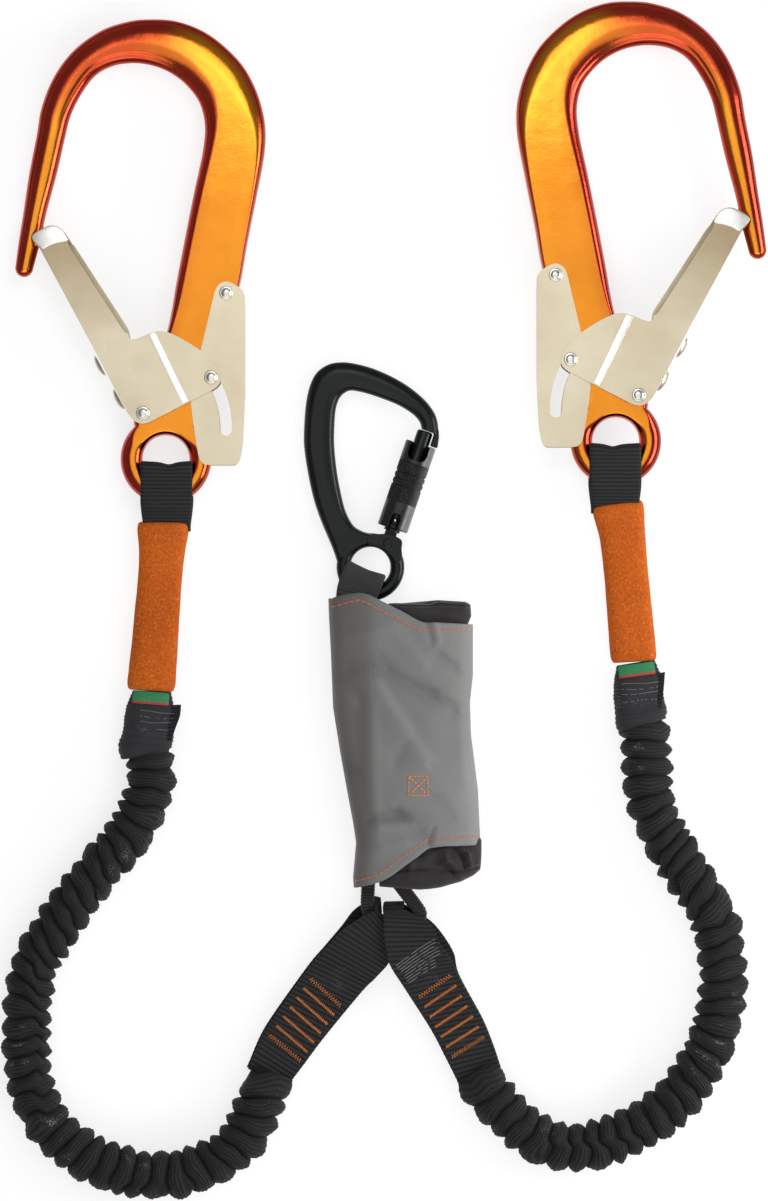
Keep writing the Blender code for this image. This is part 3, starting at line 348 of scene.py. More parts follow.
def thread(points, radius, sides=6, taper=True):
    """A thread through points as (vertices, faces), closed at both ends."""
    pts = [Vector(p) for p in points]
    verts, faces = [], []
    for i, p in enumerate(pts):
        d = (pts[min(i + 1, len(pts) - 1)] - pts[max(i - 1, 0)]).normalized()
        side = d.cross(Vector((0, 0, 1)))
        side = side.normalized() if side.length > 1e-6 else Vector((1, 0, 0))
        up = side.cross(d).normalized()
        r = radius * (0.55 if taper and i in (0, len(pts) - 1) else 1.0)
        for k in range(sides):
            a = 2 * math.pi * k / sides
            verts.append(p + side * (math.cos(a) * r) + up * (math.sin(a) * r * 0.8))
    for i in range(len(pts) - 1):
        for k in range(sides):
            faces.append((i * sides + k, i * sides + (k + 1) % sides,
                          (i + 1) * sides + (k + 1) % sides, (i + 1) * sides + k))
    faces.append(tuple(reversed(range(sides))))
    faces.append(tuple((len(pts) - 1) * sides + k for k in range(sides)))
    return verts, faces


def thread_mesh(name, lines, radius, sides=6):
    verts, faces = [], []
    for line in lines:
        v, f = thread(line, radius, sides)
        faces += [tuple(len(verts) + k for k in face) for face in f]
        verts += v
    mesh = bpy.data.meshes.new(name)
    mesh.from_pydata([tuple(v) for v in verts], [], faces)
    return recalc(mesh)


def surface_of(*meshes):
    """What lies under a plan point, seen from above, on these meshes."""
    trees = []
    for m in meshes:
        m.calc_loop_triangles()
        trees.append(BVHTree.FromPolygons([v.co.copy() for v in m.vertices],
                                          [tuple(t.vertices) for t in m.loop_triangles]))

    def drop(x, y, default=0.012):
        best = None
        for tree in trees:
            hit = tree.ray_cast(Vector((x, y, 0.2)), Vector((0, 0, -1)))
            if hit[0] is not None and (best is None or hit[0].z > best):
                best = hit[0].z
        return default if best is None else best
    return drop


# ------------------------------------------------------------------ materials
class Look:
    def __init__(self, name, **fixed):
        self.mat = bpy.data.materials.new(name)
        self.mat.use_nodes = True
        self.tree = self.mat.node_tree
        self.tree.nodes.clear()
        out = self.tree.nodes.new("ShaderNodeOutputMaterial")
        self.shader = self.tree.nodes.new("ShaderNodeBsdfPrincipled")
        self.tree.links.new(self.shader.outputs[0], out.inputs[0])
        for key, value in fixed.items():
            self.set(key.replace("_", " "), value)

    def put(self, socket, value):
        if isinstance(value, bpy.types.NodeSocket):
            self.tree.links.new(value, socket)
        elif isinstance(value, (tuple, list)) and len(value) == 3 and socket.type == "RGBA":
            socket.default_value = (*value, 1.0)
        else:
            socket.default_value = value

    def set(self, key, value):
        names = {s.name.lower(): s for s in self.shader.inputs}
        self.put(names[key.lower()], value)

    def node(self, kind, inputs=None, **props):
        n = self.tree.nodes.new(kind)
        for k, v in props.items():
            setattr(n, k, v)
        for k, v in (inputs or {}).items():
            self.put(n.inputs[k], v)
        return n

    def object_space(self, scale=(1, 1, 1), turn=(0, 0, 0)):
        tc = self.node("ShaderNodeTexCoord")
        return self.node("ShaderNodeMapping", {"Vector": tc.outputs["Object"], "Scale": scale,
                                               "Rotation": turn}).outputs[0]

    def surface_space(self, scale=(1, 1, 1)):
        uv = self.node("ShaderNodeUVMap", uv_map="Surface")
        return self.node("ShaderNodeMapping", {"Vector": uv.outputs[0], "Scale": scale}).outputs[0]

    def value(self, name):
        return self.node("ShaderNodeAttribute", attribute_name=name).outputs["Fac"]

    def noise(self, vector, scale, detail=3.0, rough=0.5, distortion=0.0):
        return self.node("ShaderNodeTexNoise", {"Vector": vector, "Scale": scale, "Detail": detail,
                                                "Roughness": rough, "Distortion": distortion}).outputs[0]

    def voronoi(self, vector, scale, feature="F1", out=0):
        return self.node("ShaderNodeTexVoronoi", {"Vector": vector, "Scale": scale}, feature=feature).outputs[out]

    def wave(self, vector, scale, direction="X", distortion=0.0, detail=1.0, dscale=1.0):
        return self.node("ShaderNodeTexWave", {"Vector": vector, "Scale": scale, "Distortion": distortion,
                                               "Detail": detail, "Detail Scale": dscale},
                         bands_direction=direction).outputs[1]

    def ramp(self, fac, stops):
        n = self.node("ShaderNodeValToRGB", {"Fac": fac})
        while len(n.color_ramp.elements) > len(stops):
            n.color_ramp.elements.remove(n.color_ramp.elements[-1])
        for k, (pos, col) in enumerate(stops):
            if k >= len(n.color_ramp.elements):
                n.color_ramp.elements.new(pos)
            n.color_ramp.elements[k].position = pos
            c = (col,) * 3 if isinstance(col, (int, float)) else col
            n.color_ramp.elements[k].color = (*c, 1.0)
        return n.outputs[0]

    def mix(self, fac, a, b, blend="MIX"):
        n = self.node("ShaderNodeMix", data_type="RGBA", blend_type=blend)
        self.put(n.inputs[0], fac)
        self.put(n.inputs[6], a)
        self.put(n.inputs[7], b)
        return n.outputs[2]

    def math(self, op, a, b=0.0, clamp=False):
        n = self.node("ShaderNodeMath", operation=op, use_clamp=clamp)
        self.put(n.inputs[0], a)
        self.put(n.inputs[1], b)
        return n.outputs[0]

    def bump(self, height, strength, distance, normal=None):
        n = self.node("ShaderNodeBump", {"Strength": strength, "Distance": distance, "Height": height})
        if normal is not None:
            self.put(n.inputs["Normal"], normal)
        return n.outputs[0]


def anodised():
    m = Look("anodised_orange_forging", Metallic=1.0)
    v = m.object_space()
    rim = m.value("rim")
    blotch = m.noise(v, 38.0, 3.0, 0.55)
    top = m.ramp(blotch, [(0.35, (0.68, 0.235, 0.020)), (0.65, (0.74, 0.265, 0.024))])
    edge = m.ramp(blotch, [(0.3, (0.42, 0.033, 0.021)), (0.7, (0.54, 0.055, 0.026))])
    # painted shade and reflection: the rim attribute mixes in the dark red edge colour where the forging turns away
    # from the lamps
    col = m.mix(m.ramp(rim, [(0.05, 0.0), (0.6, 0.85), (1.0, 1.0)]), top, edge)
    m.set("Base Color", col)
    fine = m.noise(v, 900.0, 4.0, 0.6)
    dents = m.noise(v, 120.0, 2.0, 0.5)
    m.set("Roughness", m.ramp(m.noise(v, 60.0, 4.0), [(0.3, 0.14), (0.7, 0.21)]))
    n1 = m.bump(fine, 0.10, 0.0004)
    m.set("Normal", m.bump(dents, 0.10, 0.0012, n1))
    return m.mat


def nickel():
    m = Look("nickel_plated_sheet", Metallic=1.0)
    v = m.object_space()
    cloud = m.noise(v, 26.0, 3.0, 0.5)
    streak = m.noise(m.object_space((60, 900, 60), (0, 0, 0.5)), 1.0, 2.0)
    col = m.ramp(cloud, [(0.3, (0.55, 0.465, 0.32)), (0.5, (0.61, 0.535, 0.39)), (0.75, (0.67, 0.60, 0.455))])
    # painted shade and reflection: brown darkening below the gate's tip cap
    col = m.mix(m.value("painted_tip_shade"), col, (0.30, 0.215, 0.11))
    m.set("Base Color", m.mix(m.math("MULTIPLY", streak, 0.22), col, (0.46, 0.38, 0.26)))
    m.set("Roughness", m.ramp(m.noise(v, 70.0, 5.0, 0.6), [(0.3, 0.26), (0.7, 0.40)]))
    n1 = m.bump(m.noise(v, 1600.0, 3.0, 0.6), 0.10, 0.0002)
    m.set("Normal", m.bump(m.noise(v, 55.0, 2.0), 0.08, 0.002, n1))
    return m.mat


def painted_highlight_sheet():
    # painted highlight: pale metal standing for the light that the pressed tip cap and stripe catch
    m = Look("painted_highlight_pressing", Metallic=1.0)
    v = m.object_space()
    m.set("Base Color", m.ramp(m.noise(v, 60.0), [(0.3, (0.86, 0.84, 0.78)), (0.7, (0.95, 0.93, 0.88))]))
    m.set("Roughness", m.ramp(m.noise(v, 200.0, 3.0), [(0.3, 0.28), (0.7, 0.42)]))
    m.set("Normal", m.bump(m.noise(v, 1400.0, 3.0), 0.08, 0.0002))
    return m.mat


def steel():
    m = Look("bright_steel_rivet", Metallic=1.0)
    v = m.object_space()
    m.set("Base Color", m.ramp(m.noise(v, 240.0, 3.0), [(0.3, (0.60, 0.57, 0.50)), (0.7, (0.74, 0.71, 0.64))]))
    m.set("Roughness", m.ramp(m.noise(v, 500.0, 3.0), [(0.3, 0.16), (0.7, 0.30)]))
    m.set("Normal", m.bump(m.noise(v, 1500.0, 3.0), 0.10, 0.0002))
    return m.mat


def spring_wire():
    m = Look("spring_wire", Metallic=1.0)
    v = m.object_space()
    m.set("Base Color", m.ramp(m.noise(v, 400.0, 3.0), [(0.3, (0.36, 0.36, 0.37)), (0.7, (0.52, 0.52, 0.53))]))
    m.set("Roughness", m.ramp(m.noise(v, 700.0), [(0.3, 0.24), (0.7, 0.38)]))
    return m.mat


def black_metal():
    m = Look("black_anodised_forging", Metallic=0.0)
    v = m.object_space()
    m.set("Base Color", m.ramp(m.noise(v, 45.0, 3.0), [(0.3, (0.0026, 0.0034, 0.0034)), (0.7, (0.0048, 0.0058, 0.0058))]))
    m.set("Roughness", m.ramp(m.noise(v, 150.0, 4.0, 0.6), [(0.3, 0.24), (0.7, 0.34)]))
    m.set("Specular IOR Level", 0.22)
    n1 = m.bump(m.noise(v, 1500.0, 4.0, 0.6), 0.16, 0.0002)
    m.set("Normal", m.bump(m.noise(v, 90.0, 2.0), 0.08, 0.001, n1))
    return m.mat


def dark_sleeve():
    m = Look("black_knurled_sleeve", Metallic=0.15)
    v = m.object_space()
    wear = m.noise(v, 420.0, 4.0, 0.65)
    tone = m.ramp(wear, [(0.48, (0.0032, 0.0034, 0.0034)), (0.76, (0.016, 0.0155, 0.015))])
    # worn knurl crests, lightened further as a painted glint
    tone = m.mix(m.value("crest"), tone, (0.115, 0.115, 0.112))
    # painted reflection: a grey strip down one flank of the sleeve
    m.set("Base Color", m.mix(m.value("painted_side_reflection"), tone, (0.17, 0.17, 0.168)))
    m.set("Roughness", m.ramp(m.noise(v, 300.0, 4.0), [(0.3, 0.26), (0.7, 0.42)]))
    m.set("Normal", m.bump(m.noise(v, 1600.0, 3.0), 0.15, 0.0002))
    return m.mat


def webbing(name, dark, light, fleck, fleck_amount, across=0.0021, shine=0.06):
    """Ribbed webbing: u runs along it and v across it, in metres."""
    m = Look(name, Metallic=0.0)
    uv = m.surface_space()
    # threads that run along each rib, and the twill that crosses it
    warp = m.wave(uv, 1.0 / 0.00062 / 2, "Y", 1.2, 2.0, 600.0)
    weft = m.wave(uv, 1.0 / 0.00050 / 2, "X", 2.0, 2.0, 500.0)
    yarn = m.noise(m.surface_space((1500, 3200, 1)), 1.0, 2.0, 0.6)
    patch = m.noise(m.surface_space((55, 40, 1)), 1.0, 3.0, 0.6)
    fine = m.noise(m.surface_space((2300, 1100, 1)), 1.0, 2.0, 0.7)
    spots = m.ramp(m.math("MULTIPLY", fine, m.ramp(patch, [(0.40, 0.62), (0.72, 1.0)])),
                   [(fleck_amount, 0.0), (fleck_amount + 0.12, 1.0)])
    base = m.mix(m.ramp(yarn, [(0.3, 0.0), (0.75, 1.0)]), dark, light)
    base = m.mix(m.math("MULTIPLY", warp, 0.35), base, dark)
    # painted shade in the rib grooves and painted highlight on the rib crests
    base = m.mix(1.0, base, m.ramp(m.value("groove"), [(0.05, 1.12), (0.55, 0.26)]), "MULTIPLY")
    m.set("Base Color", m.mix(m.math("MULTIPLY", spots, 0.6), base, fleck))
    m.set("Roughness", m.ramp(yarn, [(0.2, 0.62), (0.8, 0.82)]))
    m.set("Specular IOR Level", 0.30)
    m.set("Sheen Weight", shine)
    m.set("Sheen Roughness", 0.45)
    m.set("Sheen Tint", (0.55, 0.55, 0.60, 1.0))
    n1 = m.bump(warp, 0.55, 0.00022)
    n2 = m.bump(weft, 0.35, 0.00016, n1)
    m.set("Normal", m.bump(yarn, 0.35, 0.0002, n2))
    return m.mat


def elastic():
    """Gathered tubular webbing: u follows the folds and v goes round the tube."""
    m = Look("crimped_elastic_webbing", Metallic=0.0)
    uv = m.surface_space()
    cords = m.wave(uv, 1.0 / 0.00125 / 2, "X", 1.6, 3.0, 260.0)
    thread_ = m.wave(uv, 1.0 / 0.00075 / 2, "Y", 2.5, 2.0, 420.0)
    yarn = m.noise(m.surface_space((2600, 1100, 1)), 1.0, 2.0, 0.6)
    patch = m.noise(m.surface_space((170, 110, 1)), 1.0, 3.0, 0.6)
    fine = m.noise(m.surface_space((1150, 1500, 1)), 1.0, 3.0, 0.7)
    shine = m.math("MULTIPLY", fine, m.ramp(patch, [(0.42, 0.72), (0.70, 1.10)]))
    shine = m.math("MULTIPLY", shine, m.ramp(m.value("fleck"), [(0.0, 0.80), (1.0, 1.22)]))
    spots = m.ramp(shine, [(0.60, 0.0), (0.66, 1.0)])
    base = m.mix(m.ramp(yarn, [(0.3, 0.0), (0.75, 1.0)]), (0.0052, 0.0052, 0.0058), (0.0205, 0.0205, 0.0225))
    # painted shade between the cords and painted highlight on the cord tops
    base = m.mix(1.0, base, m.ramp(m.value("rib"), [(0.15, 0.36), (0.55, 0.95), (1.0, 1.7)]), "MULTIPLY")
    # painted shade: near black in the crevices between the folds
    painted_crevice_shade = m.value("painted_crevice_shade")
    base = m.mix(m.math("MULTIPLY", spots, 0.8), base, (0.24, 0.235, 0.25))
    m.set("Base Color", m.mix(m.math("MULTIPLY", painted_crevice_shade, 0.95), base, (0.0016, 0.0016, 0.0018)))
    m.set("Roughness", m.ramp(yarn, [(0.2, 0.60), (0.8, 0.80)]))
    m.set("Specular IOR Level", 0.30)
    m.set("Sheen Weight", 0.06)
    m.set("Sheen Roughness", 0.45)
    m.set("Sheen Tint", (0.55, 0.55, 0.60, 1.0))
    n1 = m.bump(cords, 0.75, 0.00035)
    n2 = m.bump(thread_, 0.30, 0.00016, n1)
    m.set("Normal", m.bump(yarn, 0.40, 0.00022, n2))
    return m.mat


def cover_cloth():
    m = Look("grey_cover_cloth", Metallic=0.0)
    uv = m.surface_space()
    warp = m.wave(uv, 1.0 / 0.00100 / 2, "X", 0.5, 2.0, 300.0)
    weft = m.wave(uv, 1.0 / 0.00055 / 2, "Y", 0.7, 2.0, 300.0)
    slub = m.noise(m.surface_space((900, 260, 1)), 1.0, 3.0, 0.6)
    cloud = m.noise(m.surface_space((16, 16, 1)), 1.0, 3.0, 0.5)
    tone = m.ramp(cloud, [(0.3, (0.148, 0.146, 0.142)), (0.7, (0.190, 0.190, 0.189))])
    tone = m.mix(m.math("MULTIPLY", warp, 0.30), tone, (0.115, 0.114, 0.112))
    tone = m.mix(m.math("MULTIPLY", slub, 0.22), tone, (0.26, 0.258, 0.25))
    # painted shade: darker and browner left of the fold, where the cover turns away
    tone = m.mix(m.math("MULTIPLY", m.value("painted_left_shade"), 0.55), tone, (0.128, 0.108, 0.096))
    # painted shade in the crease valleys and painted light on their ridges
    tone = m.mix(1.0, tone, m.ramp(m.value("painted_crease_shade"), [(0.12, 1.03), (0.5, 0.94), (0.88, 0.80)]), "MULTIPLY")
    # painted shade: the tone attribute darkens the cover toward its left and upper left and lightens it toward the
    # right
    m.set("Base Color", m.mix(1.0, tone, m.ramp(m.value("tone"), [(0.0, 0.5), (1.0, 1.5)]), "MULTIPLY"))
    m.set("Roughness", m.ramp(slub, [(0.2, 0.66), (0.8, 0.84)]))
    m.set("Sheen Weight", 0.10)
    m.set("Sheen Roughness", 0.5)
    n1 = m.bump(warp, 0.30, 0.00016)
    n2 = m.bump(weft, 0.22, 0.00012, n1)
    m.set("Normal", m.bump(slub, 0.20, 0.0002, n2))
    return m.mat


def softshell():
    m = Look("black_softshell", Metallic=0.0)
    v = m.object_space()
    cloud = m.noise(v, 45.0, 3.0, 0.5)
    fuzz = m.noise(v, 2600.0, 3.0, 0.65)
    tone = m.ramp(cloud, [(0.3, (0.0105, 0.0085, 0.0092)), (0.7, (0.0185, 0.0150, 0.0164))])
    m.set("Base Color", m.mix(m.math("MULTIPLY", fuzz, 0.5), tone, (0.030, 0.0255, 0.0275)))
    m.set("Roughness", m.ramp(fuzz, [(0.3, 0.78), (0.7, 0.92)]))
    m.set("Sheen Weight", 0.16)
    m.set("Sheen Roughness", 0.4)
    m.set("Sheen Tint", (0.72, 0.62, 0.66, 1.0))
    m.set("Normal", m.bump(fuzz, 0.5, 0.0003))
    return m.mat


def orange_sleeve():
    m = Look("orange_wear_sleeve", Metallic=0.0)
    v = m.object_space()
    grain = m.noise(v, 760.0, 5.0, 0.72)
    cloud = m.noise(v, 40.0, 3.0, 0.5)
    tone = m.ramp(cloud, [(0.3, (0.43, 0.080, 0.0040)), (0.7, (0.53, 0.102, 0.0055))])
    tone = m.mix(m.ramp(grain, [(0.52, 0.0), (0.68, 0.60)]), tone, (0.78, 0.21, 0.035))
    tone = m.mix(m.ramp(grain, [(0.34, 0.60), (0.48, 0.0)]), tone, (0.22, 0.038, 0.005))
    m.set("Base Color", tone)
    m.set("Roughness", m.ramp(grain, [(0.3, 0.62), (0.7, 0.82)]))
    m.set("Specular IOR Level", 0.16)
    m.set("Normal", m.bump(grain, 0.40, 0.0003))
    return m.mat


def dyed_thread(name, dark, light):
    m = Look(name, Metallic=0.0)
    v = m.object_space()
    ply = m.noise(m.object_space((1, 1, 1)), 2400.0, 2.0)
    m.set("Base Color", m.ramp(ply, [(0.3, dark), (0.7, light)]))
    m.set("Roughness", m.ramp(ply, [(0.3, 0.45), (0.7, 0.62)]))
    m.set("Sheen Weight", 0.1)
    m.set("Normal", m.bump(ply, 0.5, 0.0002))
    return m.mat


def label_tape():
    m = Look("green_label_tape", Metallic=0.0)
    uv = m.surface_space()
    edge = m.value("edge")
    weave = m.wave(uv, 1.0 / 0.0004 / 2, "Y", 0.6, 2.0, 300.0)
    fleck = m.noise(m.surface_space((900, 900, 1)), 1.0, 3.0)
    green = m.ramp(fleck, [(0.3, (0.008, 0.150, 0.045)), (0.7, (0.022, 0.235, 0.085))])
    red = m.ramp(fleck, [(0.3, (0.30, 0.012, 0.012)), (0.7, (0.46, 0.03, 0.025))])
    m.set("Base Color", m.mix(m.ramp(edge, [(0.47, 0.0), (0.53, 1.0)]), green, red))
    m.set("Roughness", m.ramp(fleck, [(0.3, 0.42), (0.7, 0.6)]))
    m.set("Normal", m.bump(weave, 0.35, 0.00012))
    return m.mat


def plain_floor():
    m = Look("pale_floor", Metallic=0.0)
    v = m.object_space()
    m.set("Base Color", m.ramp(m.noise(v, 3.0, 2.0), [(0.3, (0.36, 0.36, 0.36)), (0.7, (0.37, 0.37, 0.37))]))
    m.set("Roughness", 0.75)
    m.set("Specular IOR Level", 0.15)
    m.set("Emission Color", (1.0, 1.0, 1.0))
    m.set("Emission Strength", 0.72)
    return m.mat


ANODISED, NICKEL, PAINTED_HIGHLIGHT, STEEL, WIRE = anodised(), nickel(), painted_highlight_sheet(), steel(), spring_wire()
BLACK, SLEEVE = black_metal(), dark_sleeve()
WEB = webbing("black_ribbed_webbing", (0.0085, 0.0085, 0.0092), (0.034, 0.034, 0.037), (0.18, 0.18, 0.185), 0.57)
WEB_FLECK = webbing("flecked_ribbed_webbing", (0.0085, 0.0085, 0.0092), (0.036, 0.036, 0.039), (0.24, 0.24, 0.245), 0.53)
WEB_FINE = webbing("fine_grey_webbing", (0.030, 0.029, 0.031), (0.066, 0.064, 0.068), (0.13, 0.13, 0.135), 0.60)
WEB_BROWN = webbing("brown_black_webbing", (0.017, 0.0135, 0.013), (0.045, 0.037, 0.035), (0.14, 0.13, 0.125), 0.62, shine=0.1)
WEB_CUFF = webbing("cuff_webbing", (0.0095, 0.0095, 0.0105), (0.042, 0.042, 0.045), (0.26, 0.26, 0.27), 0.51)
ELASTIC = elastic()
CLOTH, SHELL, WEAR = cover_cloth(), softshell(), orange_sleeve()
ORANGE_THREAD = dyed_thread("orange_thread", (0.62, 0.165, 0.014), (0.86, 0.26, 0.026))
RED_ORANGE_THREAD = dyed_thread("cover_thread", (0.48, 0.085, 0.020), (0.72, 0.155, 0.040))
DARK_THREAD = dyed_thread("dark_thread", (0.006, 0.006, 0.007), (0.018, 0.018, 0.02))
GREY_THREAD = dyed_thread("grey_thread", (0.07, 0.07, 0.075), (0.17, 0.17, 0.18))
# thread coloured pale as painted sheen
SHEEN_THREAD = dyed_thread("painted_sheen_thread", (0.16, 0.16, 0.165), (0.36, 0.36, 0.37))
TAPE = label_tape()


# ----------------------------------------------------------- floor and lights
def lamp(name, where, target, size, power, colour=(1, 1, 1), size_y=None):
    data = bpy.data.lights.new(name, "AREA")
    data.shape = "RECTANGLE"
    data.size = size
    data.size_y = size_y or size
    data.energy = power
    data.color = colour
    obj = bpy.data.objects.new(name, data)
    scene.collection.objects.link(obj)
    obj.location = where
    obj.rotation_euler = (Vector(target) - Vector(where)).to_track_quat("-Z", "Y").to_euler()
    obj.visible_camera = False
    return obj


CENTRE = Vector((*P(384, 600.5), 0.0))
floor_mesh = bpy.data.meshes.new("floor")
floor_mesh.from_pydata([(-4, -4, -0.0002), (4, -4, -0.0002), (4, 4, -0.0002), (-4, 4, -0.0002)], [], [(0, 1, 2, 3)])
floor_mesh.materials.append(plain_floor())
floor = bpy.data.objects.new("floor", floor_mesh)
scene.collection.objects.link(floor)
floor.visible_glossy = False

world = bpy.data.worlds.new("studio")
scene.world = world
world.use_nodes = True
sky = world.node_tree
aim = sky.nodes.new("ShaderNodeTexCoord")
parts = sky.nodes.new("ShaderNodeSeparateXYZ")
level = sky.nodes.new("ShaderNodeMapRange")
level.inputs["From Min"].default_value = -1.0
level.inputs["From Max"].default_value = 1.0
shade = sky.nodes.new("ShaderNodeValToRGB")
for spot, grey in ((0.34, 0.90), (0.43, 0.09), (0.505, 0.09), (0.56, 0.50), (0.74, 0.26)):
    stop = shade.color_ramp.elements.new(spot)
    stop.color = (0.94 * grey, 0.97 * grey, grey, 1.0)
shade.color_ramp.elements[0].color = (0.98, 0.98, 1.0, 1.0)
shade.color_ramp.elements[-1].color = (0.25, 0.26, 0.27, 1.0)
sky.links.new(aim.outputs["Generated"], parts.inputs[0])
sky.links.new(parts.outputs["Z"], level.inputs["Value"])
sky.links.new(level.outputs[0], shade.inputs[0])
sky.links.new(shade.outputs[0], sky.nodes["Background"].inputs[0])
sky.nodes["Background"].inputs[1].default_value = 1.0


def panel(name, x0, x1, y0, y1, z, radiance, colour=(1, 1, 1)):
    """A level soft panel over the table, so bright as seen from below."""
    return lamp(name, ((x0 + x1) / 2, (y0 + y1) / 2, z), ((x0 + x1) / 2, (y0 + y1) / 2, 0.0), x1 - x0,
                radiance * math.pi * (x1 - x0) * (y1 - y0), colour, y1 - y0)


panel("overhead_panel", -0.285, 0.262, -0.42, 0.425, 0.54, 1.0)
panel("crown_panel", -0.144, 0.123, 0.350, 0.600, 0.545, 2.7, (1.0, 1.0, 0.98))
lamp("front_softbox", (CENTRE.x, -1.05, 0.95), (CENTRE.x, 0.05, 0.0), 1.7, 1.7 * 0.6 * math.pi * 1.8, (1, 1, 1), 0.6)

lamp("right_softbox", (0.80, 0.10, 0.30), (0.0, 0.10, 0.01), 0.75, 0.75 * 0.35 * math.pi * 7.5, (1, 1, 1), 0.35)

camera_data = bpy.data.cameras.new("camera")
camera_data.sensor_width = 36.0
camera_data.lens = 200.0
camera_data.clip_end = 50.0
camera = bpy.data.objects.new("camera", camera_data)
scene.collection.objects.link(camera)
camera.location = (CENTRE.x, CENTRE.y, 0.6005 / 36.0 * 200.0 + 0.012)
camera.rotation_euler = (0, 0, 0)
scene.camera = camera
scene.view_settings.view_transform = "Standard"
scene.view_settings.look = "None"


# ------------------------------------------------------------ forged sections
def section(width, out_r, in_r, half, groove=0.0, groove_at=0.004, groove_w=0.0008, quarter=18):
    """Half section from the outer edge to the inner one as (x, z) and how far
    it has turned towards the rim."""
    a = np.arange(quarter + 1) / quarter * math.pi / 2
    out_r, in_r = min(out_r, width * 0.52), min(in_r, width * 0.52)
    if out_r + in_r > width * 0.97:
        k = width * 0.97 / (out_r + in_r)
        out_r, in_r = out_r * k, in_r * k
    x = np.concatenate([out_r * (1 - np.cos(a)),
                        np.linspace(out_r, width - in_r, 5)[1:-1],
                        width - in_r * (1 - np.cos(a[::-1]))])
    z = np.concatenate([half * np.sin(a), np.full(3, half), half * np.sin(a[::-1])])
    rim = np.concatenate([1 - a * 2 / math.pi, np.zeros(3), 1 - a[::-1] * 2 / math.pi])
    z = z - groove * np.exp(-((width - x - groove_at) / groove_w) ** 2) * (z > 0.25 * half)
    return x, z, rim


def forged(name, stations, count, z0, cap_start=True, cap_end=True, groove_at=0.004, groove_w=0.0008):
    """A forged limb between an outer and an inner edge. Each station is outer x, y,
    inner x, y in squares, then outer and inner edge radius, half height, groove
    depth in mm."""
    rows, _ = spline(stations, count, 4)
    pts, rims = [], []
    for ox, oy, ix, iy, ro, ri, half, groove in rows:
        o, i = np.array(P(ox, oy)), np.array(P(ix, iy))
        width = np.linalg.norm(i - o)
        x, z, rim = section(width, ro * MM, ri * MM, half * MM, groove * MM, groove_at, groove_w)
        d = (i - o) / width
        top = np.column_stack([o[0] + d[0] * x, o[1] + d[1] * x, z0 + z])
        low = np.column_stack([o[0] + d[0] * x, o[1] + d[1] * x, z0 - z])[-2:0:-1]
        pts.append(np.vstack([top, low]))
        rims.append(np.concatenate([rim, rim[-2:0:-1]]))
    return grid_mesh(name, pts, around=True, caps=True, attributes={"rim": rims})


def forged_ring(name, centre, hole, outer, z0, shape, count=96):
    """A forged eye: shape(angle) gives outer radius of edge, inner radius of edge
    and half height in mm."""
    pts, rims = [], []
    cx, cy = P(*centre)
    for k in range(count):
        a = 2 * math.pi * k / count
        ro, ri, half = shape(a)
        x, z, rim = section(outer - hole, ro * MM, ri * MM, half * MM)
        r = outer - x
        c, s = math.cos(a), math.sin(a)
        top = np.column_stack([cx + c * r, cy + s * r, z0 + z])
        low = np.column_stack([cx + c * r, cy + s * r, z0 - z])[-2:0:-1]
        pts.append(np.vstack([top, low]))
        rims.append(np.concatenate([rim, rim[-2:0:-1]]))
    return grid_mesh(name, pts, around=True, along=True, attributes={"rim": rims})


def tip(centre, direction, radius, outer_side, ro, half, rows=6):
    """Stations of a round end, from its point back to where it is full."""
    d = Vector(direction).normalized()
    n = Vector(outer_side).normalized()
    out = []
    for k in range(rows):
        b = math.radians(86 - 86 * k / (rows - 1))
        c = Vector(centre) + d * radius * math.sin(b)
        w = radius * math.cos(b)
        out.append((*(c + n * w), *(c - n * w), ro * math.cos(b), ro * math.cos(b), max(0.3, half * math.cos(b)), 0))
    return out


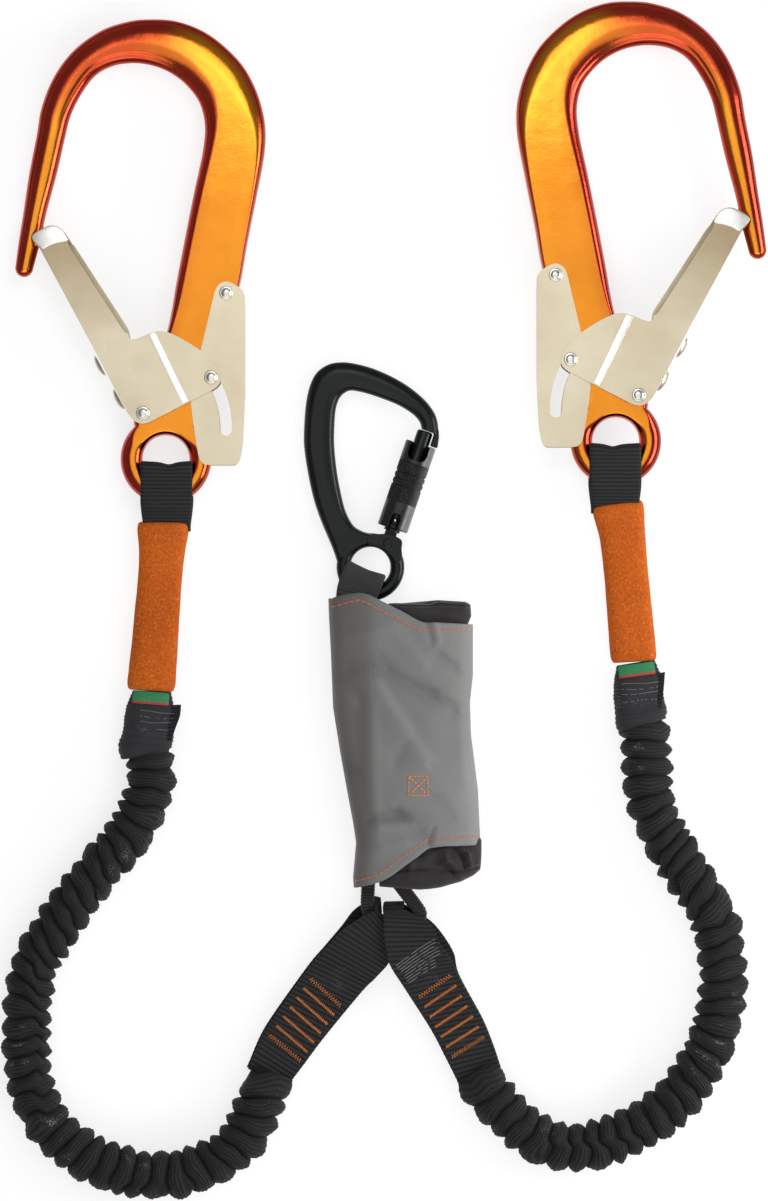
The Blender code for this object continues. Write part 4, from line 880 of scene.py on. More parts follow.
# --------------------------------------------------------------- scaffold hook
HOOK = tip((24.2, 268.2), (-0.20, 0.98), 9.0, (-0.98, -0.20), 4.5, 4.7) + [
    (18.9, 240.0, 40.6, 240.5, 5.4, 5.4, 5.6, 0), (23.0, 214.3, 46.6, 213.0, 6, 6, 6.1, 0),
    (29.0, 174.5, 56.8, 174.6, 7, 7, 6.4, 0), (36.7, 134.6, 65.2, 137.8, 7.2, 7.2, 6.5, 0.0),
    (41.6, 107.0, 70.8, 116.0, 7.6, 7.6, 6.5, 0.15), (54.0, 76.5, 81.0, 95.0, 8.2, 8.2, 6.5, 0.3),
    (73.5, 50.5, 94.9, 76.5, 8.6, 8.6, 6.5, 0.4), (101.0, 30.6, 112.0, 66.6, 9.6, 9.6, 6.5, 0.45),
    (128.6, 21.4, 131.6, 63.4, 10.4, 10.4, 6.5, 0.45), (150.0, 19.3, 150.0, 65.2, 11.2, 11.2, 6.5, 0.45),
    (174.5, 20.8, 166.5, 71.0, 12, 11.6, 6.5, 0.4), (199.0, 29.0, 180.0, 79.6, 12.6, 11.6, 6.5, 0.35),
    (220.4, 42.9, 190.6, 90.0, 12.6, 11, 6.5, 0.3), (241.8, 64.3, 198.4, 101.0, 12, 10, 6.5, 0.2),
    (255.6, 88.8, 202.6, 112.5, 10.5, 8.5, 6.5, 0.1), (263.3, 113.3, 204.5, 123.5, 8.5, 7.2, 6.5, 0.05),
    (265.7, 134.7, 204.6, 135.5, 6.6, 6.2, 6.5, 0), (263.9, 159.2, 201.6, 157.0, 4.6, 5.4, 6.5, 0),
    (257.0, 196.0, 194.2, 191.0, 3.0, 4.9, 6.5, 0), (248.0, 241.8, 185.2, 236.0, 2.4, 4.6, 6.5, 0),
    (240.3, 284.7, 176.2, 283.0, 2.0, 4.4, 6.5, 0), (232.5, 304.5, 171.4, 311.0, 1.6, 3.6, 6.5, 0),
    (222.0, 330.0, 166.0, 334.5, 1.5, 2.6, 6.5, 0), (210.0, 355.0, 158.0, 355.5, 1.5, 2.0, 6.5, 0),
    (202.0, 370.5, 151.4, 372.5, 1.5, 2.0, 6.5, 0), (200.2, 384.0, 146.0, 386.5, 1.5, 2.0, 6.5, 0),
    (201.6, 398.0, 140.6, 399.5, 1.5, 2.2, 6.5, 0), (203.0, 412.0, 135.4, 411.5, 1.5, 2.6, 6.5, 0),
    (202.6, 422.0, 133.6, 422.5, 1.5, 2.8, 6.5, 0), (199.5, 427.0, 134.6, 427.6, 1.5, 2.8, 6.5, 0)]


def eye_shape(a):
    """Flat where the shank runs into the eye, round below."""
    up = math.sin(a)
    flat = float(step(0.30, 0.80, up))
    return 5.4 - 3.6 * flat, 5.4 - 2.6 * flat, 6.5


shaft = forged("shaft", HOOK, 300, HOOK_Z)
eye = forged_ring("eye", (166.0, 459.0), 11.65 * MM, 22.75 * MM, HOOK_Z, eye_shape)
hook_mesh = boolean(shaft, [("UNION", eye)])
hook_mesh.name = "left_forged_hook"
# painted shade and reflection: the colour goes dark red where the forging turns away from the lamps, most of all along
# its back
turned_away = np.zeros(len(hook_mesh.vertices) * 3)
hook_mesh.vertices.foreach_get("normal", turned_away)
turned_away = turned_away.reshape(-1, 3)
lean = np.sqrt(np.clip(1 - turned_away[:, 2] ** 2, 0, 1))
painted_back_shade = step(-0.05, 0.24, -0.95 * turned_away[:, 0] + 0.35 * turned_away[:, 1])
spots = np.array([v.co for v in hook_mesh.vertices])
plan_x, plan_y = spots[:, 0] / SQ + 405.0, 740.0 - spots[:, 1] / SQ
# painted shade over the left of the crown
painted_crown_shade = (1 - step(120, 215, plan_x)) * (1 - step(60, 150, plan_y))
painted_rim_shade = np.clip(np.maximum(step(0.36, 0.66, lean) * 0.80 * (1 - 0.6 * step(0.965, 0.995, lean)), painted_back_shade)
                     + 0.57 * painted_crown_shade, 0, 1)
hook_mesh.attributes["rim"].data.foreach_set("value", painted_rim_shade.astype(np.float32))

GATE_OUTLINE = [
    (31.7, 239.0), (33.9, 235.0), (46.4, 227.9), (52.7, 226.0), (60.7, 228.3),
    (66.0, 234.0), (71.4, 243.5), (73.2, 244.4), (128.6, 329.6), (129.4, 337.3),
    (131.8, 340.3), (137.3, 339.7), (148.2, 334.8), (157.9, 331.8), (165.1, 331.8),
    (174.8, 335.4), (187.0, 342.0), (200.3, 350.6), (211.2, 359.7), (219.6, 370.6),
    (222.0, 381.5), (217.2, 388.2), (147.0, 424.5), (138.5, 423.9), (132.4, 419.0),
    (128.8, 414.8), (95.0, 350.0), (40.6, 249.2), (38.4, 247.0)]
GATE_CHANNEL = [
    (43.6, 247.8), (97.8, 348.5), (127.0, 404.5), (113.0, 412.0), (113.0, 445.0),
    (245.0, 445.0), (245.0, 210.0), (10.0, 210.0), (10.0, 262.0)]
LEVER_OUTLINE = [
    (215.7, 290.0), (219.0, 285.0), (225.9, 281.3), (236.0, 285.5), (244.4, 292.1),
    (245.0, 310.0), (245.0, 395.0), (242.7, 443.3), (240.5, 457.0), (237.0, 465.5),
    (205.5, 465.2), (202.0, 463.0), (199.7, 459.0), (197.8, 449.3), (193.0, 419.0),
    (191.4, 402.4), (193.0, 378.0), (201.0, 351.4)]
LEVER_CHANNEL = [
    (150.0, 270.0), (262.0, 270.0), (262.0, 294.0), (242.2, 297.0), (242.2, 395.0),
    (239.9, 442.5), (237.8, 455.0), (233.0, 480.0), (150.0, 480.0)]
GATE_PIVOT, LOCK_PIN, LEVER_PIVOT = (143.7, 413.6), (211.5, 377.9), (226.5, 293.6)


def plan_loop(points):
    return [P(*p) for p in points]


# gate: folded sheet, its far plate a little wider than the near one
outline = soften(GATE_OUTLINE, 3.0, 3, keep=(9, 10))
near_cut = [(66.5, 238.0), (71.0, 242.0), (76.0, 240.0), (135.0, 330.0), (132.6, 334.0), (127.0, 334.0),
            (124.2, 331.5), (70.0, 247.6)]
plates = outline_mesh("gate_plates", [plan_loop(outline)], HOOK_Z - 9.8 * MM, HOOK_Z + 9.8 * MM)
gate_mesh = boolean(plates, [
    ("DIFFERENCE", outline_mesh("c", [plan_loop(GATE_CHANNEL)], HOOK_Z - 8.3 * MM, HOOK_Z + 8.3 * MM)),
    ("DIFFERENCE", outline_mesh("c", [plan_loop(near_cut)], HOOK_Z + 4 * MM, HOOK_Z + 12 * MM)),
    ("DIFFERENCE", outline_mesh("c", [circle(P(*GATE_PIVOT), 2.7 * MM, 32)], HOOK_Z - 13 * MM, HOOK_Z + 13 * MM)),
    ("DIFFERENCE", outline_mesh("c", [circle(P(*LOCK_PIN), 2.2 * MM, 32)], HOOK_Z - 13 * MM, HOOK_Z + 13 * MM))])
gate_mesh = rounded(gate_mesh, 0.42 * MM, 3, 30)

# painted brown shade and reflection below the tip cap, fading with distance from it
tip_shade_layer = gate_mesh.attributes.new("painted_tip_shade", "FLOAT", "POINT")
for k, vert in enumerate(gate_mesh.vertices):
    px, py = vert.co.x / SQ + 405.0, 740.0 - vert.co.y / SQ
    tip_shade_layer.data[k].value = 0.75 * float(1 - step(14, 62, math.hypot(px - 54.0, py - 246.0)))

tip_cap = soften([(32.2, 239.2), (34.4, 235.4), (46.6, 228.4), (52.7, 226.5), (60.4, 228.8), (65.4, 234.2),
                  (70.0, 242.2), (60.5, 243.4), (50.0, 246.6), (43.4, 251.4), (40.8, 247.6), (38.6, 245.8)], 2.2, 3)
stripe = [(148.6, 334.9), (155.8, 333.4), (189.0, 401.6), (183.0, 404.6)]
trims = []
for s in (1, -1):
    for shape, rise, w in ((tip_cap, 0.55 * MM, 0.45 * MM), (stripe, 0.30 * MM, 0.24 * MM)):
        lo, hi = sorted((HOOK_Z + s * 9.5 * MM, HOOK_Z + s * (9.8 * MM + rise)))
        trims.append(rounded(outline_mesh("trim", [plan_loop(shape)], lo, hi), w, 3, 40))
gate_trim_mesh = join("left_gate_pressings", trims)
# thumb grips pressed outward from the web
bumps = []
for (x, y) in ((99.5, 366.0), (118.3, 399.5)):
    bx, by = P(x, y)
    m = lathe("bump", [(0.0, 1.5 * MM), (1.6 * MM, 1.35 * MM), (3.0 * MM, 0.9 * MM), (4.2 * MM, 0.25 * MM), (4.6 * MM, -0.6 * MM),
                       (0.0, -0.6 * MM)], 28)
    n = Vector((-0.88, -0.475, 0)).normalized()
    turn = n.to_track_quat("Z", "Y").to_matrix().to_4x4()
    m.transform(Matrix.Translation((bx, by, HOOK_Z)) @ turn @ Matrix.Diagonal((1.25, 0.9, 1, 1)))
    bumps.append(m)
gate_bump_mesh = join("left_gate_grips", bumps)

# lever with its curved slot
track = []
for i in range(25):
    th = math.radians(40) * i / 24

    def turned(p, c, ang):
        x, y = p[0] - c[0], -(p[1] - c[1])
        return (c[0] + x * math.cos(ang) - y * math.sin(ang), c[1] - (x * math.sin(ang) + y * math.cos(ang)))
    track.append(P(*turned(turned(LOCK_PIN, GATE_PIVOT, -th), LEVER_PIVOT, 0.08 * th)))


def ribbon(points, half, cap=8):
    pts = [Vector(p) for p in points]
    left, right = [], []
    for i, p in enumerate(pts):
        d = (pts[min(i + 1, len(pts) - 1)] - pts[max(i - 1, 0)]).normalized()
        n = Vector((-d.y, d.x))
        left.append(p + n * half)
        right.append(p - n * half)

    def end(at, d):
        a = math.atan2(d.y, d.x)
        return [(at.x + half * math.cos(a + math.pi / 2 - math.pi * k / cap),
                 at.y + half * math.sin(a + math.pi / 2 - math.pi * k / cap)) for k in range(1, cap)]
    return ([(v.x, v.y) for v in left] + end(pts[-1], (pts[-1] - pts[-2]).normalized())
            + [(v.x, v.y) for v in reversed(right)] + end(pts[0], (pts[0] - pts[1]).normalized()))


plates = outline_mesh("lever_plates", [plan_loop(soften(LEVER_OUTLINE, 2.5, 3))], HOOK_Z - 8 * MM, HOOK_Z + 8 * MM)
lever_mesh = boolean(plates, [
    ("DIFFERENCE", outline_mesh("c", [plan_loop(LEVER_CHANNEL)], HOOK_Z - 6.8 * MM, HOOK_Z + 6.8 * MM)),
    ("DIFFERENCE", outline_mesh("c", [ribbon(track, 3.0 * MM)], HOOK_Z - 11 * MM, HOOK_Z + 11 * MM)),
    ("DIFFERENCE", outline_mesh("c", [circle(P(*LEVER_PIVOT), 2.4 * MM, 32)], HOOK_Z - 11 * MM, HOOK_Z + 11 * MM))])
lever_mesh = rounded(lever_mesh, 0.34 * MM, 3, 30)


def rivet_mesh(name, centre, shank, inner, rise):
    top = [(0.0, rise), (0.9, rise - 0.04), (1.6, rise - 0.17), (2.1, rise - 0.42), (2.35, rise - 0.70), (2.55, rise - 0.78),
           (2.95, rise - 0.74), (3.25, rise - 0.86), (3.4, rise - 1.05), (3.4, 0.0)]
    prof = [(r * MM, inner + h * MM) for r, h in top] + [(shank, inner)]
    prof += [(shank, -inner)] + [(r * MM, -inner - h * MM) for r, h in reversed(top)]
    return lathe(name, prof, 36, Matrix.Translation(P3(*centre, HOOK_Z)))


rivets = {"gate_pivot_rivet": (GATE_PIVOT, 2.4 * MM, 10.1 * MM, 1.6, "hook"),
          "lock_pin": (LOCK_PIN, 1.9 * MM, 10.1 * MM, 1.6, "gate"),
          "lever_pivot_rivet": (LEVER_PIVOT, 2.1 * MM, 8.3 * MM, 1.4, "hook")}
made = {tag: rivet_mesh("left_" + tag, *spec[:4]) for tag, spec in rivets.items()}

for side in ("left", "right"):
    def pick(mesh, name):
        if side == "right":
            return mirrored(mesh, name)
        mesh.name = name
        return mesh.copy()
    add(side + "_forged_hook", pick(hook_mesh, side + "_forged_hook"), ANODISED, side + "_hook",
        (side + "_hook_body",), sharp=55)
    add(side + "_gate_sheet", pick(gate_mesh, side + "_gate_sheet"), NICKEL, side + "_gate",
        (side + "_gate_channel",), sharp=22)
    for obj in bpy.data.objects:
        if obj.name == side + "_gate_sheet":
            flat_shading(obj)
    # the pressings wear the painted highlight material
    add(side + "_gate_pressings", pick(gate_trim_mesh, side + "_gate_pressings"), PAINTED_HIGHLIGHT, side + "_gate",
        sharp=22)
    add(side + "_gate_grips", pick(gate_bump_mesh, side + "_gate_grips"), NICKEL, side + "_gate", sharp=50)
    add(side + "_lever_sheet", pick(lever_mesh, side + "_lever_sheet"), NICKEL, side + "_lever",
        (side + "_safety_lever",), sharp=22)
    for obj in bpy.data.objects:
        if obj.name == side + "_lever_sheet":
            flat_shading(obj)
    for tag, (_, _, _, _, body) in rivets.items():
        add(f"{side}_{tag}_head", pick(made[tag], f"{side}_{tag}_head"), STEEL, f"{side}_{body}",
            (f"{side}_{tag}",), sharp=40)

# --------------------------------------------------------------- elastic arms
BUNGEE = {
    "left": [(147.8, 751.5), (150.5, 767), (150.6, 784), (147, 800), (140, 816), (129, 833),
             (118, 849), (104, 863), (93, 878), (79, 894), (66, 913), (53, 933), (40, 950),
             (32, 972), (28.5, 993), (26.5, 1013), (25.6, 1034), (26, 1056), (29, 1077),
             (34, 1094), (43, 1113), (54, 1131), (69, 1144), (88, 1157), (107, 1166),
             (128, 1172), (148, 1175), (170, 1175), (191, 1171), (214, 1162), (232, 1149),
             (246, 1132), (257, 1111), (268.4, 1080.8)],
    "right": [(643.4, 721.0), (645, 732), (646, 749), (647, 767), (648.5, 787), (653, 808),
              (660, 827), (669, 844), (679, 859), (688, 874), (698.5, 889), (707, 905),
              (715, 921), (719, 938), (721, 958), (723, 977), (722, 996), (719, 1016),
              (714, 1034), (707, 1052), (698, 1068), (689, 1082), (678, 1096), (665, 1108),
              (650, 1119), (632, 1130), (613, 1139), (594, 1145), (573, 1147), (554, 1144),
              (535, 1136), (517, 1122.5), (501, 1107.5), (489, 1093), (480.6, 1079.2)],
}
ARM_LENGTH = {}
for side in ("left", "right"):
    route, length = spline([P3(*p, 12.8 * MM) for p in BUNGEE[side]], 720, 3)
    ARM_LENGTH[side] = length
    pitch = 9.3 * MM
    lobes = round(length / pitch)
    rings_n = lobes * 34
    rows, _ = spline([P3(*p, 12.8 * MM) for p in BUNGEE[side]], rings_n + 1, 3)
    tangent = np.gradient(rows, axis=0)
    tangent /= np.linalg.norm(tangent, axis=1)[:, None]
    lateral = np.column_stack([-tangent[:, 1], tangent[:, 0], np.zeros(len(rows))])
    if side == "right":
        lateral = -lateral
    around_n = 96
    th = np.arange(around_n) * 2 * math.pi / around_n
    s = np.linspace(0, lobes, rings_n + 1)[:, None]
    seed = 3.0 if side == "left" else 8.0
    c, sn = np.cos(th)[None, :], np.sin(th)[None, :]
    if side == "left":
        slant = -0.62 * step(3, 6, s) * (1 - step(12, 16, s)) + 0.20 * step(28, 32, s)
        forked = step(12, 14, s) * (1 - step(21, 23, s)) + 0.8 * step(27, 28, s) * (1 - step(29, 30, s))
    else:
        slant = -0.34 * step(3, 7, s) * (1 - step(15, 19, s)) + 0.30 * step(17, 20, s) * (1 - step(27, 30, s))
        forked = step(6, 8, s) * (1 - step(10, 12, s)) + step(24, 26, s) * (1 - step(29, 31, s))
    tilt = slant + 0.26 * waves(s * 0.45, 0.0, seed) + 0.12 * waves(s * 1.9, 0, seed + 2)
    twist = 0.24 * waves(s * 0.33, 1.0, seed + 5)
    where = np.sin(th[None, :] - math.pi / 2 + 0.9 * waves(s * 0.30, 2.0, seed + 9) + 0.2)
    fork = 0.5 * forked * step(-0.25, 0.25, where)
    wander = 0.15 * waves(s * 1.3, c * 2.2, seed + 1) + 0.09 * waves(s * 2.1, sn * 3.1, seed + 4)
    phase = s + tilt * c + twist * sn * c + fork + wander
    cell = np.floor(phase)
    x = 2 * (phase - cell) - 1
    flank = np.abs(c) ** 3
    bulge = np.sqrt(np.clip(1 - np.abs(x) ** (1.75 - 0.45 * flank), 0, 1))
    size = 0.85 + 0.30 * scatter(cell, seed)
    lean = 0.5 * (scatter(cell, seed + 3) - 0.5)
    reach = 1.6 * (scatter(cell + 500 * (c > 0), seed + 11) - 0.55) * flank
    top = 12.65 + 0.50 * waves(s * 2.0, c * 1.5, seed + 6) + 0.8 * lean * c * size + reach
    deep = 8.95 - 0.45 * flank + 0.10 * waves(s * 0.9, c, seed + 7)
    radius = deep + (top - deep) * bulge ** 0.95
    # cords woven into the webbing run along each fold
    knots = 1 - 0.6 * forked * np.exp(-(where / 0.3) ** 2)
    cords = np.sin(2 * math.pi * 6 * phase + 0.5 * waves(s * 3.0, th[None, :] * 4, seed + 14))
    radius += 0.19 * cords * (0.30 + 0.70 * bulge) * knots
    radius += 0.30 * waves(s * 5.0, th[None, :] * 3, seed + 18) * bulge
    radius += 0.09 * (1.2 - knots) * waves(s * 40, th[None, :] * 14, seed + 12)
    bright = 0.75 * step(0.05, 0.75, waves(s * 0.37, c * 1.1, seed + 15) + 0.35 * c * waves(s * 0.13, 0.0, seed + 16) + 0.25)
    # the far end is drawn flat into the sewn strap
    ends = step(0, 0.5, s)
    radius = 9.0 + (radius - 9.0) * ends
    tuck = step(lobes - 0.75, lobes - 0.05, s)
    radius = radius * (1 - 0.04 * tuck)
    flat = (1.0 - 0.02 * np.abs(sn)) * (1 - 0.55 * tuck)
    r = radius * MM
    centre_line = rows + tangent * (5.2 * MM * tuck)
    pts = (centre_line[:, None, :] + lateral[:, None, :] * (r * c)[..., None]
           + np.array([0, 0, 1.0])[None, None, :] * (r * sn * flat)[..., None])
    pts[..., 2] = np.maximum(pts[..., 2], 0.00025)
    uv = np.stack([phase * pitch, np.broadcast_to(th[None, :] * 0.0118, phase.shape)], -1)
    # masks for the painted shade between the folds and along the cords
    mesh = grid_mesh(side + "_crimped_arm", pts, around=True, caps=True, uv=uv,
                     attributes={"painted_crevice_shade": 1 - step(0.36, 0.96, bulge), "rib": 0.5 + 0.5 * cords, "fleck": bright})
    arm = add(side + "_crimped_arm", mesh, ELASTIC, side + "_arm", (side + "_elastic_arm",))
    tuple(route[0])
    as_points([tuple(p) for p in route[::6]] + [tuple(route[-1])])


# ---------------------------------------------------------------- ribbed webbing
def strap(name, rows, thickness, ribs=2.1, rib_depth=0.16, crown=0.0, samples=None, smooth=True, edge=0.45,
          across=18, wobble=0.0, seed=0.0):
    """A band of ribbed webbing. Each row is left x, y, z and right x, y, z in
    metres of its mid-surface."""
    probe, length = (spline if smooth else straight)(rows, 50, 3)
    n = samples or max(12, int(length / (ribs * MM) * 7))
    data, length = (spline if smooth else straight)(rows, n, 3)
    left, right = data[:, :3], data[:, 3:6]
    mid = (left + right) / 2
    run = np.concatenate([[0], np.cumsum(np.linalg.norm(np.diff(mid, axis=0), axis=1))])
    tangent = np.gradient(mid, axis=0)
    tangent /= np.linalg.norm(tangent, axis=1)[:, None]
    cross = right - left
    width = np.linalg.norm(cross, axis=1)
    cross /= width[:, None]
    normal = np.cross(cross, tangent)
    normal /= np.linalg.norm(normal, axis=1)[:, None]
    half = thickness / 2
    e = edge * MM
    # section from left to right over the top and back underneath
    u_top = np.concatenate([[0.0, 0.15, 0.5], np.linspace(1.0, across - 1.0, across)])
    top, h = [], []
    k = across
    t = np.linspace(0, 1, k)
    pts_u = np.concatenate([[0.0], t, [1.0]])
    lift = np.concatenate([[0.0], np.ones(k), [0.0]])
    lift[1] = lift[-2] = 0.72
    inset = np.concatenate([[0.0], np.full(k, 0.0), [0.0]])
    rib = 1 - np.abs(np.sin(math.pi * run / (ribs * MM))) ** 0.8
    ring = []
    for sgn in (1, -1):
        uu = pts_u if sgn == 1 else pts_u[-2:0:-1]
        ll = lift if sgn == 1 else lift[-2:0:-1]
        ee = np.ones(len(uu))
        for q, (u, l) in enumerate(zip(uu, ll)):
            if l == 0.0:
                place = 0.36 * MM * rib if u == 0.0 else width - 0.36 * MM * rib
            else:
                place = e * 0.35 + (width - 0.7 * e) * u if 0 < u < 1 else (e * 0.30 if u == 0.0 else width - e * 0.30)
            off = (half * l - rib_depth * MM * rib * (1.0 if l == 1.0 else 0.4)) * sgn if l else 0.0 * rib
            arch = crown * MM * (1 - (2 * u - 1) ** 2)
            soft = wobble * MM * waves(run * 90, u * 3.0, seed)
            ring.append(left + cross * np.asarray(place).reshape(-1, 1) * np.ones((n, 1))
                        + normal * (off + arch + soft)[:, None] if np.ndim(off) else
                        left + cross * np.asarray(place).reshape(-1, 1) * np.ones((n, 1))
                        + normal * (np.zeros(n) + arch + soft)[:, None])
    pts = np.stack(ring, 1)
    vv = np.concatenate([pts_u, 2 - pts_u[-2:0:-1]]) * float(width.mean())
    uv = np.stack(np.broadcast_arrays(run[:, None], vv[None, :]), -1)
    # groove also sets the painted shade in the rib grooves
    return grid_mesh(name, pts, around=True, caps=True, uv=uv,
                     attributes={"groove": np.repeat(rib[:, None], pts.shape[1], 1)})


def flat_row(a, b, z):
    return (*P(*a), z * MM, *P(*b), z * MM)


# sewn straps of the arms: front and back layer, joined by the fold round the strap
LOWER_FRONT = {
    "left": [((373.6, 909.5), (381.5, 921.0), 14.9), ((366.5, 913.8), (382.6, 933.0), 15.7),
             ((357.0, 920.0), (385.0, 946.0), 15.75), ((341.5, 930.5), (387.4, 961.0), 15.5),
             ((325.8, 947.5), (377.0, 976.5), 14.2), ((309.5, 966.6), (361.8, 992.0), 12.3),
             ((276.9, 1012.0), (324.8, 1037.0), 11.6), ((262.0, 1036.0), (304.5, 1064.0), 12.0),
             ((250.2, 1063.5), (288.2, 1085.5), 13.4),
             ((247.8, 1068.2), (285.8, 1090.0), 13.5)],
    "right": [((382.6, 909.6), (404.0, 909.0), 15.0), ((383.4, 916.0), (424.0, 919.0), 15.7),
              ((383.4, 924.0), (432.0, 926.0), 15.75), ((383.7, 931.0), (435.0, 931.5), 15.75),
              ((385.4, 946.0), (440.0, 944.0), 15.6), ((389.4, 964.0), (450.5, 958.0), 15.0),
              ((404.5, 988.5), (458.5, 975.5), 12.6), ((430.3, 1029.0), (481.8, 1019.0), 11.6),
              ((444.5, 1056.0), (492.5, 1045.0), 12.0), ((455.6, 1078.0), (499.2, 1065.0), 13.4),
              ((457.4, 1082.6), (500.6, 1069.8), 13.5)],
}
BACK_TOP = {
    "left": (4, [((372.5, 898.5), (380.7, 900.0), 4.0), ((354.0, 910.5), (381.6, 913.0), 3.0),
                 ((341.0, 927.0), (383.4, 932.0), 2.9)]),
    "right": (6, [((384.0, 905.5), (404.5, 905.0), 3.9), ((384.6, 914.0), (425.5, 917.5), 2.9),
                  ((386.0, 930.5), (439.0, 930.0), 2.9), ((392.0, 958.0), (453.8, 953.0), 3.1)]),
}
strap_meshes = {}
for side in ("left", "right"):
    front = [flat_row(*r) for r in LOWER_FRONT[side]]
    first, tops = BACK_TOP[side]
    if side == "left":
        front = [(*r[:3], r[3] + (1.1 * MM if k in (1, 2, 3) else 0.0), r[4], (13.15 * MM, 13.1 * MM, 13.15 * MM, 13.3 * MM)[k - 1])
                 if k in (1, 2, 3, 4) else r for k, r in enumerate(front)]
    back = [flat_row(*r) for r in tops]
    for (a, b, z) in LOWER_FRONT[side][first:]:
        zb = (18.6 if z > 14.25 else 18.2) - z
        shift = -1.6 if side == "left" else 1.6
        back.append(flat_row((a[0] + shift, a[1] - 0.8), (b[0] + shift * 0.6, b[1] - 0.4), zb))
    m1 = strap(side + "_sewn_strap_front", front, 2.1 * MM, 2.4, 0.46, crown=0.25, wobble=0.14, seed=2, across=26)
    m2 = strap(side + "_sewn_strap_back", back, 2.1 * MM, 2.4, 0.42, crown=-0.1, wobble=0.1, seed=5, across=22)
    # sewn filler between the layers in the stitched part
    core = []
    for (a, b, z) in [r for r in LOWER_FRONT[side] if r[2] < 13.0]:
        core.append(flat_row((a[0] + 1.2, a[1] + 0.6), (b[0] - 1.2, b[1] - 0.6), 9.1))
    m3 = strap(side + "_sewn_strap_core", core, 4.4 * MM, 1.9, 0.2, across=14)
    # fold at the top
    (a, b, z1), (a2, b2, z2) = LOWER_FRONT[side][0], tops[0]
    fold = []
    for k in range(13):
        ang = math.pi * k / 12
        f, rise = (1 - math.cos(ang)) / 2, 3.2 * math.sin(ang)
        fold.append(flat_row((a[0] + (a2[0] - a[0]) * f, a[1] + (a2[1] - a[1]) * f - rise),
                             (b[0] + (b2[0] - b[0]) * f, b[1] + (b2[1] - b[1]) * f - rise), z1 + (z2 - z1) * f))
    m4 = strap(side + "_sewn_strap_fold", fold, 1.9 * MM, 2.2, 0.34, across=14)
    strap_meshes[side] = m1
    add(side + "_sewn_strap_front", m1, WEB_FLECK, side + "_arm", (side + "_lower_loop",), sharp=60)
    add(side + "_sewn_strap_back", m2, WEB, side + "_arm", sharp=60)
    add(side + "_sewn_strap_core", m3, WEB, side + "_arm", sharp=60)
    add(side + "_sewn_strap_fold", m4, WEB, side + "_arm", sharp=60)

# shiny threads that lie across the straps, long and nearly parallel, coloured pale as painted sheen
drop = surface_of(strap_meshes["right"])
lines = []
for k in range(9):
    f = k / 8
    a = Vector(P(394.8 + 10.5 * f, 966.5 + 19.0 * f))
    b = Vector(P(435.5 + 9.5 * f, 938.2 + 22.5 * f))
    heights = []
    for q in range(101):
        p = a.lerp(b, q / 100)
        heights.append(drop(p.x, p.y, 0.0))
    w = 0.02 + 0.10 * float(scatter(k, 2.0))
    last = 0.98 if f < 0.75 else 0.80
    while w < last:
        w1 = min(last, w + 0.30 + 0.30 * float(scatter(k * 7 + int(w * 40), 5.0)))
        line = []
        count = max(4, int((w1 - w) * 60))
        for q in range(count + 1):
            t = w + (w1 - w) * q / count
            p = a.lerp(b, t)
            at = int(t * 100)
            crest = max(heights[max(0, at - 5):at + 6])
            y = p.y + 0.7 * MM * math.sin(math.pi * t) + 0.10 * MM * float(waves(t * 14, k * 3.0, 4.0))
            line.append(Vector((p.x, y, crest + 0.03 * MM)))
        if w1 - w > 0.04:
            lines.append(line)
        w = w1 + 0.015 + 0.05 * float(scatter(k * 11 + int(w * 60), 6.0))
split = [[], []]
for line in lines:
    split[0 if line[0].x < P(386.5, 0)[0] else 1].append(line)
for side, part in zip(("left", "right"), split):
    if not part:
        continue
    add(side + "_shiny_threads", thread_mesh(side + "_shiny_threads", part, 0.115 * MM, 5), SHEEN_THREAD, side + "_arm",
        sharp=70)

# seven bartack rows on each sewn strap
BARTACK = {"left": ((310.3, 978.5), (340.7, 1005.7), (269.6, 1035.0), (300.5, 1061.0)),
           "right": ((419.0, 997.0), (450.5, 975.0), (451.6, 1057.0), (484.0, 1037.0))}
for side in ("left", "right"):
    drop = surface_of(strap_meshes[side])
    a0, b0, a1, b1 = (Vector(P(*p)) for p in BARTACK[side])
    lines = []
    for k in range(7):
        a, b = a0.lerp(a1, k / 6), b0.lerp(b1, k / 6)
        d = (b - a)
        length = d.length
        d = d.normalized()
        n = Vector((-d.y, d.x))
        count = int(length / (1.38 * MM)) if k in (0, 6) else 22
        amp = (0.98 if k in (0, 6) else 0.58) * MM
        line = []
        for i in range(count * 2 + 1):
            f = i / (count * 2)
            q = a + d * (length * f) + n * (amp if i % 2 else -amp) * (0.85 + 0.3 * float(scatter(i + k * 61, 4.0)))
            over = max(drop(q.x + n.x * t * MM, q.y + n.y * t * MM) for t in (-1.3, -0.65, 0.0, 0.65, 1.3))
            line.append(Vector((q.x, q.y, over - 0.02 * MM)))
        lines.append(line)
    add(side + "_bartacks", thread_mesh(side + "_bartacks", lines[1:6], 0.35 * MM, 6), ORANGE_THREAD, side + "_arm",
        sharp=70)
    add(side + "_bartack_ends", thread_mesh(side + "_bartack_ends", [lines[0], lines[6]], 0.25 * MM, 6), ORANGE_THREAD,
        side + "_arm", sharp=70)

